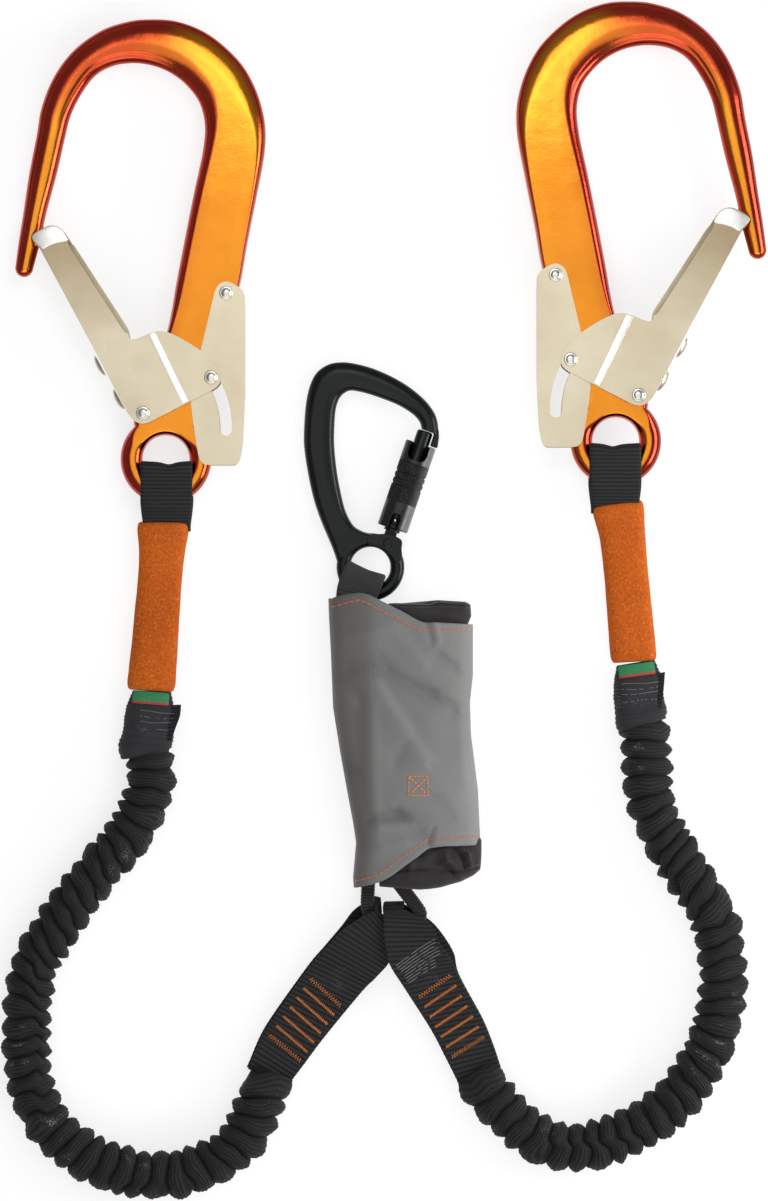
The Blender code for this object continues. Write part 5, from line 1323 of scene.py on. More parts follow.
# ------------------------------------------------------------- sleeve and cuff
ARM = {
    "left": {"sleeve": [((163.3, 521.8), 22.6), ((163.3, 523.2), 24.6), ((163.3, 527.0), 25.4), ((162.9, 534.0), 25.2),
                        ((161.6, 556.0), 22.6), ((159.0, 590.0), 22.0), ((155.5, 635.0), 22.9), ((152.0, 676.0), 24.1),
                        ((151.3, 684.5), 24.0), ((151.1, 689.0), 22.8), ((151.0, 690.8), 20.6)],
             "cuff": [((151.6, 691.0), 19.0), ((151.3, 698.0), 21.5), ((150.0, 712.0), 24.8), ((147.2, 734.0), 25.6),
                      ((146.0, 748.0), 26.2), ((147.0, 756.0), 24.0)],
             "flap": [((134.2, 702.0), (181.6, 704.6), 16.8), ((135.2, 711.5), (180.6, 715.5), 18.2),
                      ((136.2, 724.0), (176.0, 728.5), 19.5), ((137.0, 736.5), (172.0, 741.0), 20.3)]},
    "right": {"sleeve": [((617.3, 503.2), 22.6), ((617.5, 504.6), 24.6), ((618.0, 508.4), 25.5), ((619.2, 515.0), 25.2),
                         ((622.5, 538.0), 22.8), ((626.0, 572.0), 22.2), ((630.0, 617.0), 22.5), ((632.9, 650.0), 23.2),
                         ((633.5, 656.5), 23.0), ((633.7, 660.2), 21.8), ((633.8, 661.8), 19.8)],
              "cuff": [((635.2, 662.6), 19.0), ((636.6, 671.0), 22.0), ((638.2, 684.0), 25.0), ((639.0, 706.0), 25.8),
                       ((641.0, 718.0), 26.0), ((643.0, 725.0), 24.5)],
              "flap": [((613.8, 677.0), (664.8, 672.0), 16.8), ((614.4, 688.5), (663.8, 684.0), 18.2),
                       ((615.2, 700.0), (662.4, 696.5), 19.5), ((616.0, 710.5), (660.5, 708.5), 20.2)]},
}


def flat_tube(name, stations, heights, z, power, count_along, count_around=72, bulge=None, uv_along=1.0, ribs=None,
              rib_depth=0.0, wall=None):
    """A flattened tube through (plan centre, half width) stations."""
    rows = [(*P(*c), h * SQ, e * MM) for (c, h), e in zip(stations, heights)]
    data, length = spline(rows, count_along, 2)
    centre = np.column_stack([data[:, 0], data[:, 1], np.full(len(data), z)])
    tangent = np.gradient(centre, axis=0)
    tangent /= np.linalg.norm(tangent, axis=1)[:, None]
    lateral = np.column_stack([-tangent[:, 1], tangent[:, 0], np.zeros(len(data))])
    run = np.linspace(0, length, count_along)
    th = np.arange(count_around) * 2 * math.pi / count_around
    c, s = np.cos(th), np.sin(th)
    u = np.sign(c) * np.abs(c) ** power
    v = np.sign(s) * np.abs(s) ** power
    scale = np.ones((count_along, count_around))
    if ribs:
        rib = 1 - np.abs(np.sin(math.pi * run / (ribs * MM))) ** 0.8
        scale = 1 - (rib_depth * rib)[:, None] * np.ones(count_around)[None, :]
    if bulge is not None:
        scale = scale * bulge(run[:, None] / length, th[None, :])
    pts = (centre[:, None, :] + lateral[:, None, :] * (data[:, 2:3] * u[None, :] * scale)[..., None]
           + np.array([0, 0, 1.0])[None, None, :] * (data[:, 3:4] * v[None, :] * scale)[..., None])
    uv = np.stack(np.broadcast_arrays(run[:, None], th[None, :] * float(data[:, 2].mean()) * 0.9), -1)
    return grid_mesh(name, pts, around=True, caps=True, uv=uv), data


for side in ("left", "right"):
    st = ARM[side]
    seed = 1.0 if side == "left" else 6.0
    mesh, _ = flat_tube(side + "_orange_sleeve", st["sleeve"], [3.4, 4.5, 5.2, 5.4, 5.2, 5.2, 5.4, 5.8, 5.6, 4.8, 3.6], HOOK_Z, 0.66,
                        150, 84, bulge=lambda f, th: 1 + 0.009 * waves(f * 14, np.cos(th) * 2, seed) + 0.012 * waves(f * 5, np.sin(th), seed + 3))
    add(side + "_orange_sleeve", mesh, WEAR, side + "_arm", (side + "_wear_sleeve",))
    # webbing inside the sleeve
    core = [c for c, _h in st["sleeve"]]
    rows = []
    for i, (cx, cy) in enumerate(core):
        a = Vector(P(*core[max(i - 1, 0)]))
        b = Vector(P(*core[min(i + 1, len(core) - 1)]))
        d = (b - a).normalized()
        n = Vector((-d.y, d.x)) * 9.6 * MM
        q = Vector(P(cx, cy))
        rows.append((q.x - n.x, q.y - n.y, HOOK_Z, q.x + n.x, q.y + n.y, HOOK_Z))
    add(side + "_sleeve_webbing", strap(side + "_sleeve_webbing", rows, 4.4 * MM, 2.1, 0.2, across=12), WEB, side + "_arm",
        (side + "_arm_webbing",), sharp=60)

    def lumps(f, th, seed=seed):
        fold = 0.055 * np.sin(f * 9.0 + 1.2 * np.cos(th) + seed) * step(0.35, 0.8, f)
        return 1 + fold + 0.020 * waves(f * 12, np.cos(th) * 3, seed + 2)
    mesh, _ = flat_tube(side + "_cuff_fabric", st["cuff"], [3.6, 5.0, 7.4, 9.6, 10.6, 9.6], HOOK_Z, 0.74, 130, 72, bulge=lumps,
                        ribs=1.9, rib_depth=0.036)
    cuff_mesh = mesh
    add(side + "_cuff_fabric", mesh, WEB_CUFF, side + "_arm", (side + "_cuff",), sharp=60)
    drop = surface_of(cuff_mesh)
    # label tape laid over the top of the cuff
    (ax, ay), (bx, by) = st["cuff"][0][0], st["cuff"][2][0]
    a, b = Vector(P(ax, ay)), Vector(P(bx, by))
    d = (b - a).normalized()
    n = Vector((-d.y, d.x))
    if side == "right":
        a = a + d * 0.2 * MM
    pts, uv, edge = [], [], []
    for i in range(15):
        row, ruv, red = [], [], []
        for j in range(31):
            q = a + d * (0.4 + 6.2 * i / 14) * MM + n * ((j / 30 - 0.5) * (18.2 - 1.0 * (i < 2)) * MM)
            hmax = max(drop(q.x + dx, q.y + dy, 0.0) for dx in (-0.0007, 0, 0.0007) for dy in (-0.0007, 0, 0.0007))
            row.append((q.x, q.y, hmax + 0.22 * MM))
            ruv.append((6.2 * MM * i / 14, 18.2 * MM * j / 30))
            red.append(1.0 if i >= 12 else 0.0)
        pts.append(row)
        uv.append(ruv)
        edge.append(red)
    pts = np.array(pts)
    for _ in range(6):
        z = pts[..., 2]
        z[1:-1] = (z[:-2] + z[2:] + 2 * z[1:-1]) / 4 + 0.00001
        z[:, 1:-1] = (z[:, :-2] + z[:, 2:] + 2 * z[:, 1:-1]) / 4
    mesh = grid_mesh(side + "_label_tape", pts, uv=np.array(uv), attributes={"edge": edge})
    tape = add(side + "_label_tape", mesh, TAPE, side + "_arm", (side + "_label_band",))
    mod = tape.modifiers.new("tape_thickness", "SOLIDIFY")
    mod.thickness = 0.35 * MM
    mod.offset = 1.0
    # rows of grey stitching below the label
    flap_rows = [flat_row(*r) for r in st["flap"]]
    flap = strap(side + "_cuff_flap", flap_rows, 1.7 * MM, 1.9, 0.36, crown=2.9, across=26, wobble=0.15, seed=seed)
    add(side + "_cuff_flap", flap, WEB_CUFF, side + "_arm", sharp=60)
    drop = surface_of(cuff_mesh, flap)
    lines = []
    fa, fb = st["flap"][0][:2], st["flap"][3][:2]
    for k in range(4):
        f0 = (0.24, 0.40, 0.53, 0.74)[k]
        pa = Vector(P(*fa[0])).lerp(Vector(P(*fb[0])), f0)
        pb = Vector(P(*fa[1])).lerp(Vector(P(*fb[1])), f0)
        for i in range(17):
            row = []
            for q_ in range(4):
                w = 0.13 + 0.76 * (i + 0.10 + 0.27 * q_) / 17
                q = pa.lerp(pb, w)
                y = q.y + 0.35 * MM * math.sin(w * 7 + k)
                row.append(Vector((q.x, y, drop(q.x, y) + 0.06 * MM)))
            if scatter(i * 7 + k * 31, seed) > (0.10 if k in (0, 2) else 0.32):
                lines.append(row)
    add(side + "_cuff_stitching", thread_mesh(side + "_cuff_stitching", lines, 0.24 * MM, 5), GREY_THREAD, side + "_arm",
        sharp=70)

# ------------------------------------------------------------- webbing loops
def eye_loop(name, centre, z, hole, rim, half, left, right, end_y, width_end, notch=1.2, ribs=2.0, rib_deep=0.26):
    """Webbing through an eye: up the front, through the hole and down the back."""
    cx, cy = P(*centre)
    fy = P(0, end_y)[1]
    t = 1.05 * MM
    outer = half + 0.5 * MM + t
    rows = []   # (y, z offset, flatness 0 arc .. 1 flat, width share)
    down = cy - rim - 1.0 * MM
    front = [(fy, 1.3 * MM, 1, width_end), (fy + (down - fy) * 0.25, 2.3 * MM, 1, width_end),
             (fy + (down - fy) * 0.65, outer * 0.62, 1, 0.5 + width_end / 2),
             (down + 1.5 * MM, outer, 1, 1.0), (cy - rim * 0.72, outer + 0.25 * MM, 1, 1.0),
             (cy - hole * 0.80, outer + 0.35 * MM, 1, 1.0), (cy - 4.6 * MM, outer + 0.25 * MM, 1, 1.0),
             (cy - 2.9 * MM, outer - 0.2 * MM, 1, 1.0), (cy - 2.1 * MM, outer - 1.5 * MM, 0.92, 0.985),
             (cy - 2.3 * MM, half - 1.0 * MM, 0.45, 0.93), (cy - 2.8 * MM, half - 3.0 * MM, 0.05, 0.9)]
    path = front + [(cy - 3.0 * MM, 0.0, 0, 0.9)] + [(y, -zz, f, w) for y, zz, f, w in reversed(front)]
    data, length = spline(path, 150, 2)
    across = 27
    u = np.linspace(-1, 1, across)
    mid = (left + right) / 2
    halfw = (right - left) / 2
    pts = []
    for y, zz, f, w in data:
        ang = u * math.radians(66) * min(1.0, w / 0.9)
        r = hole - 1.45 * MM
        arc = np.column_stack([cx + r * np.sin(ang), cy - r * np.cos(ang)])
        dip = notch * MM * np.exp(-((u - 0.1) / 0.28) ** 2) * step(cy - 8 * MM, cy - 2.5 * MM, y)
        flat = np.column_stack([cx + mid + halfw * w * u, y - dip + 0.5 * MM * u * u * step(cy - 8 * MM, cy - 2 * MM, y)])
        f = float(np.clip(f, 0, 1))
        xy = flat * f + arc * (1 - f)
        curl = -0.35 * MM * (np.abs(u) ** 4) * np.sign(zz) * f
        pts.append(np.column_stack([xy, z + zz + curl]))
    pts = np.array(pts)
    run = np.linspace(0, length, len(data))
    # thicken with ribs along the normal
    gy = np.gradient(pts, axis=0)
    gx = np.gradient(pts, axis=1)
    nrm = np.cross(gx, gy)
    nrm /= np.maximum(np.linalg.norm(nrm, axis=2), 1e-12)[..., None]
    fine, _ = pts, None
    dense = int(length / (ribs * MM) * 7)
    idx = np.linspace(0, len(data) - 1, dense)
    lo = np.floor(idx).astype(int).clip(0, len(data) - 2)
    fr = (idx - lo)[:, None, None]
    pts = pts[lo] * (1 - fr) + pts[lo + 1] * fr
    nrm = nrm[lo] * (1 - fr) + nrm[lo + 1] * fr
    run = np.interp(idx, np.arange(len(data)), run)
    groove = 1 - np.abs(np.sin(math.pi * run / (ribs * MM))) ** 0.8
    rib = groove[:, None] * (rib_deep * MM)
    edge = np.ones(across)
    edge[[0, -1]] = 0.35
    th = (t - rib) * edge[None, :]
    top, low = pts + nrm * th[..., None], (pts - nrm * th[..., None])[:, ::-1]
    ring = np.concatenate([top, low], 1)
    vv = np.concatenate([np.linspace(0, 1, across), 2 - np.linspace(1, 0, across)]) * (right - left)
    uv = np.stack(np.broadcast_arrays(run[:, None], vv[None, :]), -1)
    # groove also sets the painted shade in the rib grooves
    return grid_mesh(name, ring, around=True, caps=True, uv=uv,
                     attributes={"groove": np.repeat(groove[:, None] * min(1.0, rib_deep / 0.2), ring.shape[1], 1)})


loop_mesh = eye_loop("left_eye_webbing", (166.0, 459.0), HOOK_Z, 11.65 * MM, 22.75 * MM, 6.5 * MM, -12.5 * MM, 13.4 * MM,
                     531.0, 0.92, ribs=1.9)
for side in ("left", "right"):
    if side == "left":
        mesh = loop_mesh.copy()
        at = (166.0, 519.0)
    else:
        mesh = mirrored(loop_mesh, "right_eye_webbing")
        at = other(166.0, 519.0)
    obj = add(side + "_eye_webbing", mesh, WEB, None, (side + "_hook_loop",), sharp=60)
    P3(at[0], at[1] + 7, HOOK_Z)
    P3(at[0], at[1] - 9, HOOK_Z)
    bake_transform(obj)

mesh = eye_loop("top_webbing", (370.4, 567.0), CARAB_Z, 10.0 * MM, 17.0 * MM, 4.0 * MM, -12.0 * MM, 9.0 * MM, 630.0, 0.95,
                notch=0.2, ribs=1.0, rib_deep=0.09)
# it lies turned in the eye, then runs straight down inside the cover
lie = math.radians(22)
ring_at = Vector(P(370.4, 567.0))
for vert in mesh.vertices:
    u, v = vert.co.x - ring_at.x, vert.co.y - ring_at.y
    t = float(step(0.011, 0.018, -v))
    turned_u, turned_v = u * math.cos(lie) + v * math.sin(lie), -u * math.sin(lie) + v * math.cos(lie)
    vert.co.x = ring_at.x + turned_u * (1 - t) + (u - 0.0135 * math.sin(lie)) * t
    vert.co.y = ring_at.y + turned_v * (1 - t) + v * t
obj = add("top_webbing", mesh, WEB_FINE, None, ("absorber_top_loop",), sharp=60)
P3(370.4, 620, CARAB_Z)
P3(370.4, 604, CARAB_Z)
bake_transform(obj)

# ------------------------------------------------------------- absorber cover
LEFT_EDGE = [(590, 328), (617, 329), (656, 331), (707, 333), (751, 340), (790, 347),
             (822, 353), (842, 356), (877, 353), (890, 354)]
RIGHT_EDGE = [(590, 473), (623, 473), (675, 473), (702, 470), (734, 471), (790, 478), (834, 480), (890, 480)]
TOP_EDGE = [(320, 604), (328, 601), (339, 596), (355, 593), (366, 593.5), (378.5, 599.6), (397.7, 609.2),
            (420.8, 621.7), (474.6, 624.6), (480, 624.8)]
BOTTOM_EDGE = [(350, 887.5), (353.8, 887), (383.4, 879.6), (407.4, 862), (431, 845), (480, 843.5), (484, 843.5)]
WRAP = [
    ("at", 438, 3.9), ("at", 410, 3.9), ("at", 385, 3.9), ("L", 20, 3.9), ("L", 6.5, 4.0), ("L", 2.2, 7), ("L", 1.2, 18),
    ("L", 3, 27), ("L", 9, 31.6), ("L", 22, 33.8), ("L", 36, 34.8), ("L", 49, 35.3), ("M", 0, 35.6),
    ("R", -52, 35.4), ("R", -38, 35.1), ("R", -22, 34.2), ("R", -9, 32), ("R", -3, 27), ("R", -1.4, 19), ("R", -1.8, 9), ("R", -7, 2.4),
    ("R", -18, 0.6), ("at", 430, 0.6), ("at", 400, 0.6), ("at", 372, 0.6)]


def read(table, v):
    xs, ys = [a for a, _ in table], [b for _, b in table]
    return float(np.interp(v, xs, ys))


CREASES = [  # x1, y1, x2, y2, width in squares, height in mm
    (377, 686, 424, 758, 9, 0.78), (388, 672, 430, 694, 9, -0.75), (430, 694, 452, 708, 9, -0.55),
    (372, 704, 376, 850, 9, 0.34), (362, 700, 366, 840, 8, -0.45), (372, 816, 398, 812, 6, -0.85),
    (398, 812, 424, 834, 8, -0.62), (380, 826, 412, 824, 6, 0.55), (384, 846, 404, 842, 6, 0.4),
    (428, 622, 432, 640, 4, -0.38), (434, 620, 439, 640, 4, 0.34), (439, 655, 454, 666, 6, -0.55),
    (428, 842, 432, 828, 3, -0.45), (449, 706, 455, 782, 11, -0.40), (345, 640, 392, 626, 8, 0.40),
    (350, 668, 380, 660, 9, -0.45), (405, 640, 424, 664, 7, 0.35), (438, 798, 450, 812, 8, -0.32),
    (396, 760, 406, 742, 7, -0.35), (334, 690, 352, 700, 6, 0.4), (340, 760, 356, 770, 6, -0.4)]
DEEPER = 1.75
PUCKERS = [
    (439.7, 846, 441.5, 860, 2.6, -1.3), (441.5, 860, 452.4, 870, 2.6, -1.3), (444.8, 848, 446.5, 859, 2.6, 0.9),
    (446.5, 859, 455, 865, 2.6, 0.9), (455, 844, 463.5, 855, 2.4, -1.2), (463.5, 855, 464.8, 865, 2.2, -1.1),
    (459, 845, 468.5, 853, 2.6, 0.8), (468.5, 853, 471, 863, 2.6, 0.9), (419.3, 852, 418, 868, 1.8, -0.7),
    (404, 862, 406.5, 869, 1.8, -0.6), (429, 854, 431, 866, 5, 0.7), (475, 866, 481, 864, 1.8, -0.8),
    (411, 862, 412, 868, 3, 0.4), (410, 878, 470, 872, 5, 0.7), (395, 601, 462, 603, 1.4, 0.25)]
POUCH_SEAMS = [[(388, 872), (406.5, 869.6), (419.3, 869), (439.7, 868.3), (452.4, 871.2), (467.7, 868.7), (482, 864)],
               [(398, 603.4), (430, 604.4), (472, 606.6)]]


def crease(x, y, table=CREASES, depth=DEEPER):
    """Folds at a plan point, each steeper on one side than on the other."""
    total = 0.0
    for x1, y1, x2, y2, w, h in table:
        dx, dy = x2 - x1, y2 - y1
        t = ((x - x1) * dx + (y - y1) * dy) / (dx * dx + dy * dy)
        tc = min(1.0, max(0.0, t))
        ox, oy = x - x1 - dx * tc, y - y1 - dy * tc
        wide = w * (0.80 if ox * dy - oy * dx > 0 else 1.25)
        total += depth * h * math.exp(-(ox * ox + oy * oy) / (wide * wide))
    return total


def seam_groove(x, y, lines, wide):
    """1 on a seam and 0 away from it."""
    best = 1e9
    for line in lines:
        for (x1, y1), (x2, y2) in zip(line, line[1:]):
            dx, dy = x2 - x1, y2 - y1
            t = min(1.0, max(0.0, ((x - x1) * dx + (y - y1) * dy) / (dx * dx + dy * dy)))
            best = min(best, (x - x1 - dx * t) ** 2 + (y - y1 - dy * t) ** 2)
    return math.exp(-best / (wide * wide))


def cover_grid(rows_n, cols_n, lift=0.0):
    grid, perimeter = [], 0
    painted_left_shade, painted_crease_shade, side_shades = [], [], []
    for j in range(rows_n):
        v = j / (rows_n - 1)
        ctrl = []
        for kind, off, h in WRAP:
            y = 600 + 285 * v
            for _ in range(4):
                lx, rx = read(LEFT_EDGE, y), read(RIGHT_EDGE, y)
                x = {"at": off, "L": lx + off, "R": rx + off, "M": (lx + rx) / 2}[kind]
                top, bottom = read(TOP_EDGE, x), read(BOTTOM_EDGE, x)
                if h < 6:
                    top = max(top, 622)
                y = top + (bottom - top) * v
            ctrl.append((x, h * 2.0, y))
        data, length = spline(ctrl, cols_n, 2, 10)
        perimeter = max(perimeter, length)
        line, b_line, v_line, t_line = [], [], [], []
        for x, h, y in data:
            z = max(h / 2.0, 0.62) * MM
            # painted shade left of the fold
            b_line.append(1 - float(step(362, 380, x)))
            v_line.append(0.5)
            # painted shade: darker toward the left and upper left, lighter toward the right
            share = 0.78 + 0.22 * float(step(352, 392, x)) + 0.26 * float(step(415, 470, x))
            share *= 1 - 0.10 * float(1 - step(600, 690, y)) * (1 - float(step(380, 430, x)))
            t_line.append(min(1.0, max(0.0, share - 0.5)))
            if z > 26 * MM:
                # painted shade in the valleys of the creases, lighter on their ridges
                lump = crease(x, y) + 0.25 * float(waves(x * 0.045, y * 0.035, 3.0))
                v_line[-1] = min(1.0, max(0.0, 0.5 - 0.42 * lump))
                z += lump * MM * float(step(26, 33, z / MM))
            # the cloth's own edges settle a little
            z -= 0.5 * MM * float(step(0.97, 1.0, abs(2 * v - 1))) * (1 if z > 20 * MM else 0)
            line.append((*P(x, y), z))
        grid.append(line)
        painted_left_shade.append(b_line)
        painted_crease_shade.append(v_line)
        side_shades.append(t_line)
    return np.array(grid), perimeter * SQ, np.array(painted_left_shade), np.array(painted_crease_shade), np.array(side_shades)


cover_pts, cover_perimeter, cover_left_shade, cover_crease_shade, cover_side_shade = cover_grid(170, 300)
run_u = np.linspace(0, cover_perimeter, 300)
run_v = np.linspace(0, 0.13, 170)
uv = np.stack(np.broadcast_arrays(run_u[None, :], run_v[:, None]), -1)
cover_mesh = grid_mesh("cover_cloth", cover_pts, uv=uv, attributes={"painted_left_shade": cover_left_shade, "painted_crease_shade": cover_crease_shade, "tone": cover_side_shade})
# all the cloth's normals point outward before it gets its thickness
cover = add("cover_cloth", cover_mesh, CLOTH, "absorber", ("absorber_cover",))
mod = cover.modifiers.new("cloth_thickness", "SOLIDIFY")
mod.thickness = 1.1 * MM
mod.offset = 0.0
mod.use_even_offset = False
shown = evaluated(cover)
cover_drop = surface_of(shown)


def dashes(polyline, drop, pitch, fill, radius, lift=0.0):
    pts, _ = straight([P(*p) for p in polyline], 400, 2)
    run = np.concatenate([[0], np.cumsum(np.linalg.norm(np.diff(pts, axis=0), axis=1))])
    total = run[-1]
    lines = []
    k = 0
    while (k + fill) * pitch < total:
        line = []
        for q in range(5):
            s_ = (k + fill * q / 4) * pitch
            x, y = np.interp(s_, run, pts[:, 0]), np.interp(s_, run, pts[:, 1])
            arch = math.sin(math.pi * q / 4)
            line.append(Vector((x, y, drop(x, y) + (0.02 + 0.14 * arch) * MM + lift)))
        lines.append(line)
        k += 1
    return lines


seams = [[(331.5, 607.2), (345, 603.2), (360, 599.6), (419, 630), (472.5, 629.4)],
         [(355.0, 879.4), (378, 873.6), (425.5, 838), (479.0, 834.2)]]
lines = []
for seam in seams:
    lines += dashes(seam, cover_drop, 3.1 * MM, 0.74, 0.36 * MM)
# a sewn square with a cross in it, a plain reinforcement
box = [(408.5, 775), (427.5, 775), (427.5, 794), (408.5, 794), (408.5, 775)]
lines2 = dashes(box, cover_drop, 2.0 * MM, 0.80, 0.3 * MM) + dashes([(408.5, 775), (427.5, 794)], cover_drop, 2.0 * MM, 0.8, 0.3 * MM) \
    + dashes([(427.5, 775), (408.5, 794)], cover_drop, 2.0 * MM, 0.8, 0.3 * MM)
add("cover_seams", thread_mesh("cover_seams", lines, 0.27 * MM, 6), RED_ORANGE_THREAD, "absorber", sharp=70)
add("cover_box_stitch", thread_mesh("cover_box_stitch", lines2, 0.27 * MM, 6), ORANGE_THREAD, "absorber",
    sharp=70)

# ---------------------------------------------------------------- inner pouch
POUCH_TOP = [(387, 598.3), (395.7, 597.2), (465.2, 601.5), (471.3, 604.8)]
POUCH_BOTTOM = [(376, 887.4), (400, 888.5), (421.7, 889.6), (439, 887.4), (460.9, 880.9), (473.9, 874.3), (481.5, 867.8)]


def pouch_points(rows_n, cols_n, fine):
    """Rings of points along the pouch, closer together at its ends."""
    out = []
    for i in range(rows_n):
        g = i / (rows_n - 1)
        f = g - 0.13 * math.sin(2 * math.pi * g)
        y0 = 597.6 + (887.5 - 597.6) * f
        a = min(1.0, min(f, 1 - f) / 0.045)
        shrink = math.sqrt(max(0.0, 1 - (1 - a) ** 2))
        lx, rx = read(LEFT_EDGE, y0), read(RIGHT_EDGE, y0)
        x0, x1 = lx + (rx - lx) * 0.43, lx + (rx - lx) * 0.952
        z0, z1 = 5.2, 31.6
        k = max(0.0, min(1.0, (625 - y0) / 15))
        x0, x1 = x0 + (388 - x0) * k, x1 + (471.0 - x1) * k
        k = max(0.0, min(1.0, (y0 - 838) / 18))
        x0, x1, z1 = x0 + (379 - x0) * k, x1 + (481.3 - x1) * k, z1 + 0.5 * k
        cx, cz = (x0 + x1) / 2, (z0 + z1) / 2
        hx, hz = (x1 - x0) / 2, (z1 - z0) / 2
        hz *= 0.30 + 0.70 * shrink
        hx *= 0.975 + 0.025 * shrink
        row = []
        for j in range(cols_n):
            th = 2 * math.pi * j / cols_n
            c, s = math.cos(th), math.sin(th)
            x = cx + hx * math.copysign(abs(c) ** 0.42, c)
            z = cz + hz * math.copysign(abs(s) ** 0.42, s)
            top, low = read(POUCH_TOP, x), read(POUCH_BOTTOM, x)
            y = top + (low - top) * (y0 - 597.6) / (887.5 - 597.6)
            free = max(0.0, min(1.0, (628 - y) / 8), min(1.0, (y - 840) / 6))
            if fine and s > -0.2 and free:
                face = float(step(-0.2, 0.3, s)) * free
                z += face * (crease(x, y, PUCKERS, 1.7) - 1.35 * seam_groove(x, y, POUCH_SEAMS, 1.4))
                z += 0.30 * float(waves(x * 0.16, y * 0.13, 2.0)) * face
            # the hanging strap runs below this corner
            if y > 850 and x < 410:
                keep = float(step(850, 862, y)) * float(1 - step(402, 410, x))
                z = z * (1 - keep) + max(z, 15.2) * keep
            row.append((*P(x, y), z * MM))
        out.append(row)
    return np.array(out)


def filled(points, voxel, pressure, cap):
    """How far each part of a padded shape swells, as (where, move) arrays."""
    obj = temp(grid_mesh("pad", points, around=True, caps=True))
    mod = obj.modifiers.new("even", "REMESH")
    mod.mode = "VOXEL"
    mod.voxel_size = voxel
    pad = evaluated(obj)
    bpy.data.objects.remove(obj, do_unlink=True)
    obj = temp(pad, "pad")
    cloth = obj.modifiers.new("fill", "CLOTH")
    cloth.settings.use_pressure = True
    cloth.settings.uniform_pressure_force = pressure
    cloth.settings.effector_weights.gravity = 0.0
    cloth.settings.quality = 5
    where = np.array([v.co for v in obj.data.vertices])
    for k in range(1, 21):
        scene.frame_set(k)
    swollen = evaluated(obj)
    move = np.array([v.co for v in swollen.vertices]) - where
    size = np.linalg.norm(move, axis=1, keepdims=True)
    move = move * np.minimum(1.0, cap / np.maximum(size, 1e-9))
    bpy.data.objects.remove(obj, do_unlink=True)
    scene.frame_set(1)
    return where, move


pouch_pts = pouch_points(250, 260, True)
spots, moves = filled(pouch_points(60, 80, False), 4 * MM, 4.0, 3.0 * MM)
tree = KDTree(len(spots))
for k, spot in enumerate(spots):
    tree.insert(spot, k)
tree.balance()
for row in pouch_pts:
    for q in range(len(row)):
        y = 740.0 - row[q][1] / SQ
        free = max(0.0, min(1.0, (618 - y) / 10), min(1.0, (y - 850) / 10))
        if free:
            near = tree.find_n(Vector(row[q]), 6)
            weights = np.array([1 / (n[2] + 0.0015) ** 2 for n in near])
            move = sum(moves[n[1]] * w for n, w in zip(near, weights)) / weights.sum()
            row[q] = row[q] + move * free * np.array([0.35, 0.35, 0.8])
# its end lies lower where the ring of the carabiner swings over it
over = np.clip(pouch_pts[:, :, 1] - 66 * MM, 0, None)
pouch_pts[:, :, 1] -= 0.52 * over * (1 - step(12.2 * MM, 16.0 * MM, pouch_pts[:, :, 0]))
pouch_mesh = grid_mesh("stuffed_pouch", pouch_pts, around=True, caps=True)
pouch = add("stuffed_pouch", pouch_mesh, SHELL, "absorber", ("inner_pouch",))

# ------------------------------------------------------------- strap below it
strap_path = [(369.0, 868), (368.4, 880), (367.9, 892), (367.5, 904), (369.5, 913), (375, 919.2), (384, 921.3),
              (398, 922.0), (410, 921.8), (418.6, 918.4), (419.8, 912.8), (414.6, 904.4), (404, 890.6), (389.5, 872)]
data, _ = spline([P(*p) for p in strap_path], 60, 2)
tan = np.gradient(data, axis=0)
tan /= np.linalg.norm(tan, axis=1)[:, None]
rows = []
for (x, y), (tx, ty) in zip(data, tan):
    hw = 3.55 * MM
    rows.append((x - (-ty) * hw, y - tx * hw, 9.6 * MM, x + (-ty) * hw, y + tx * hw, 9.6 * MM))
mesh = strap("hanging_strap", rows, 8.3 * MM, 1.5, 0.16, samples=260, across=12, edge=1.2)
add("hanging_strap", mesh, WEB_BROWN, "absorber", ("absorber_lower_strap",), sharp=60)

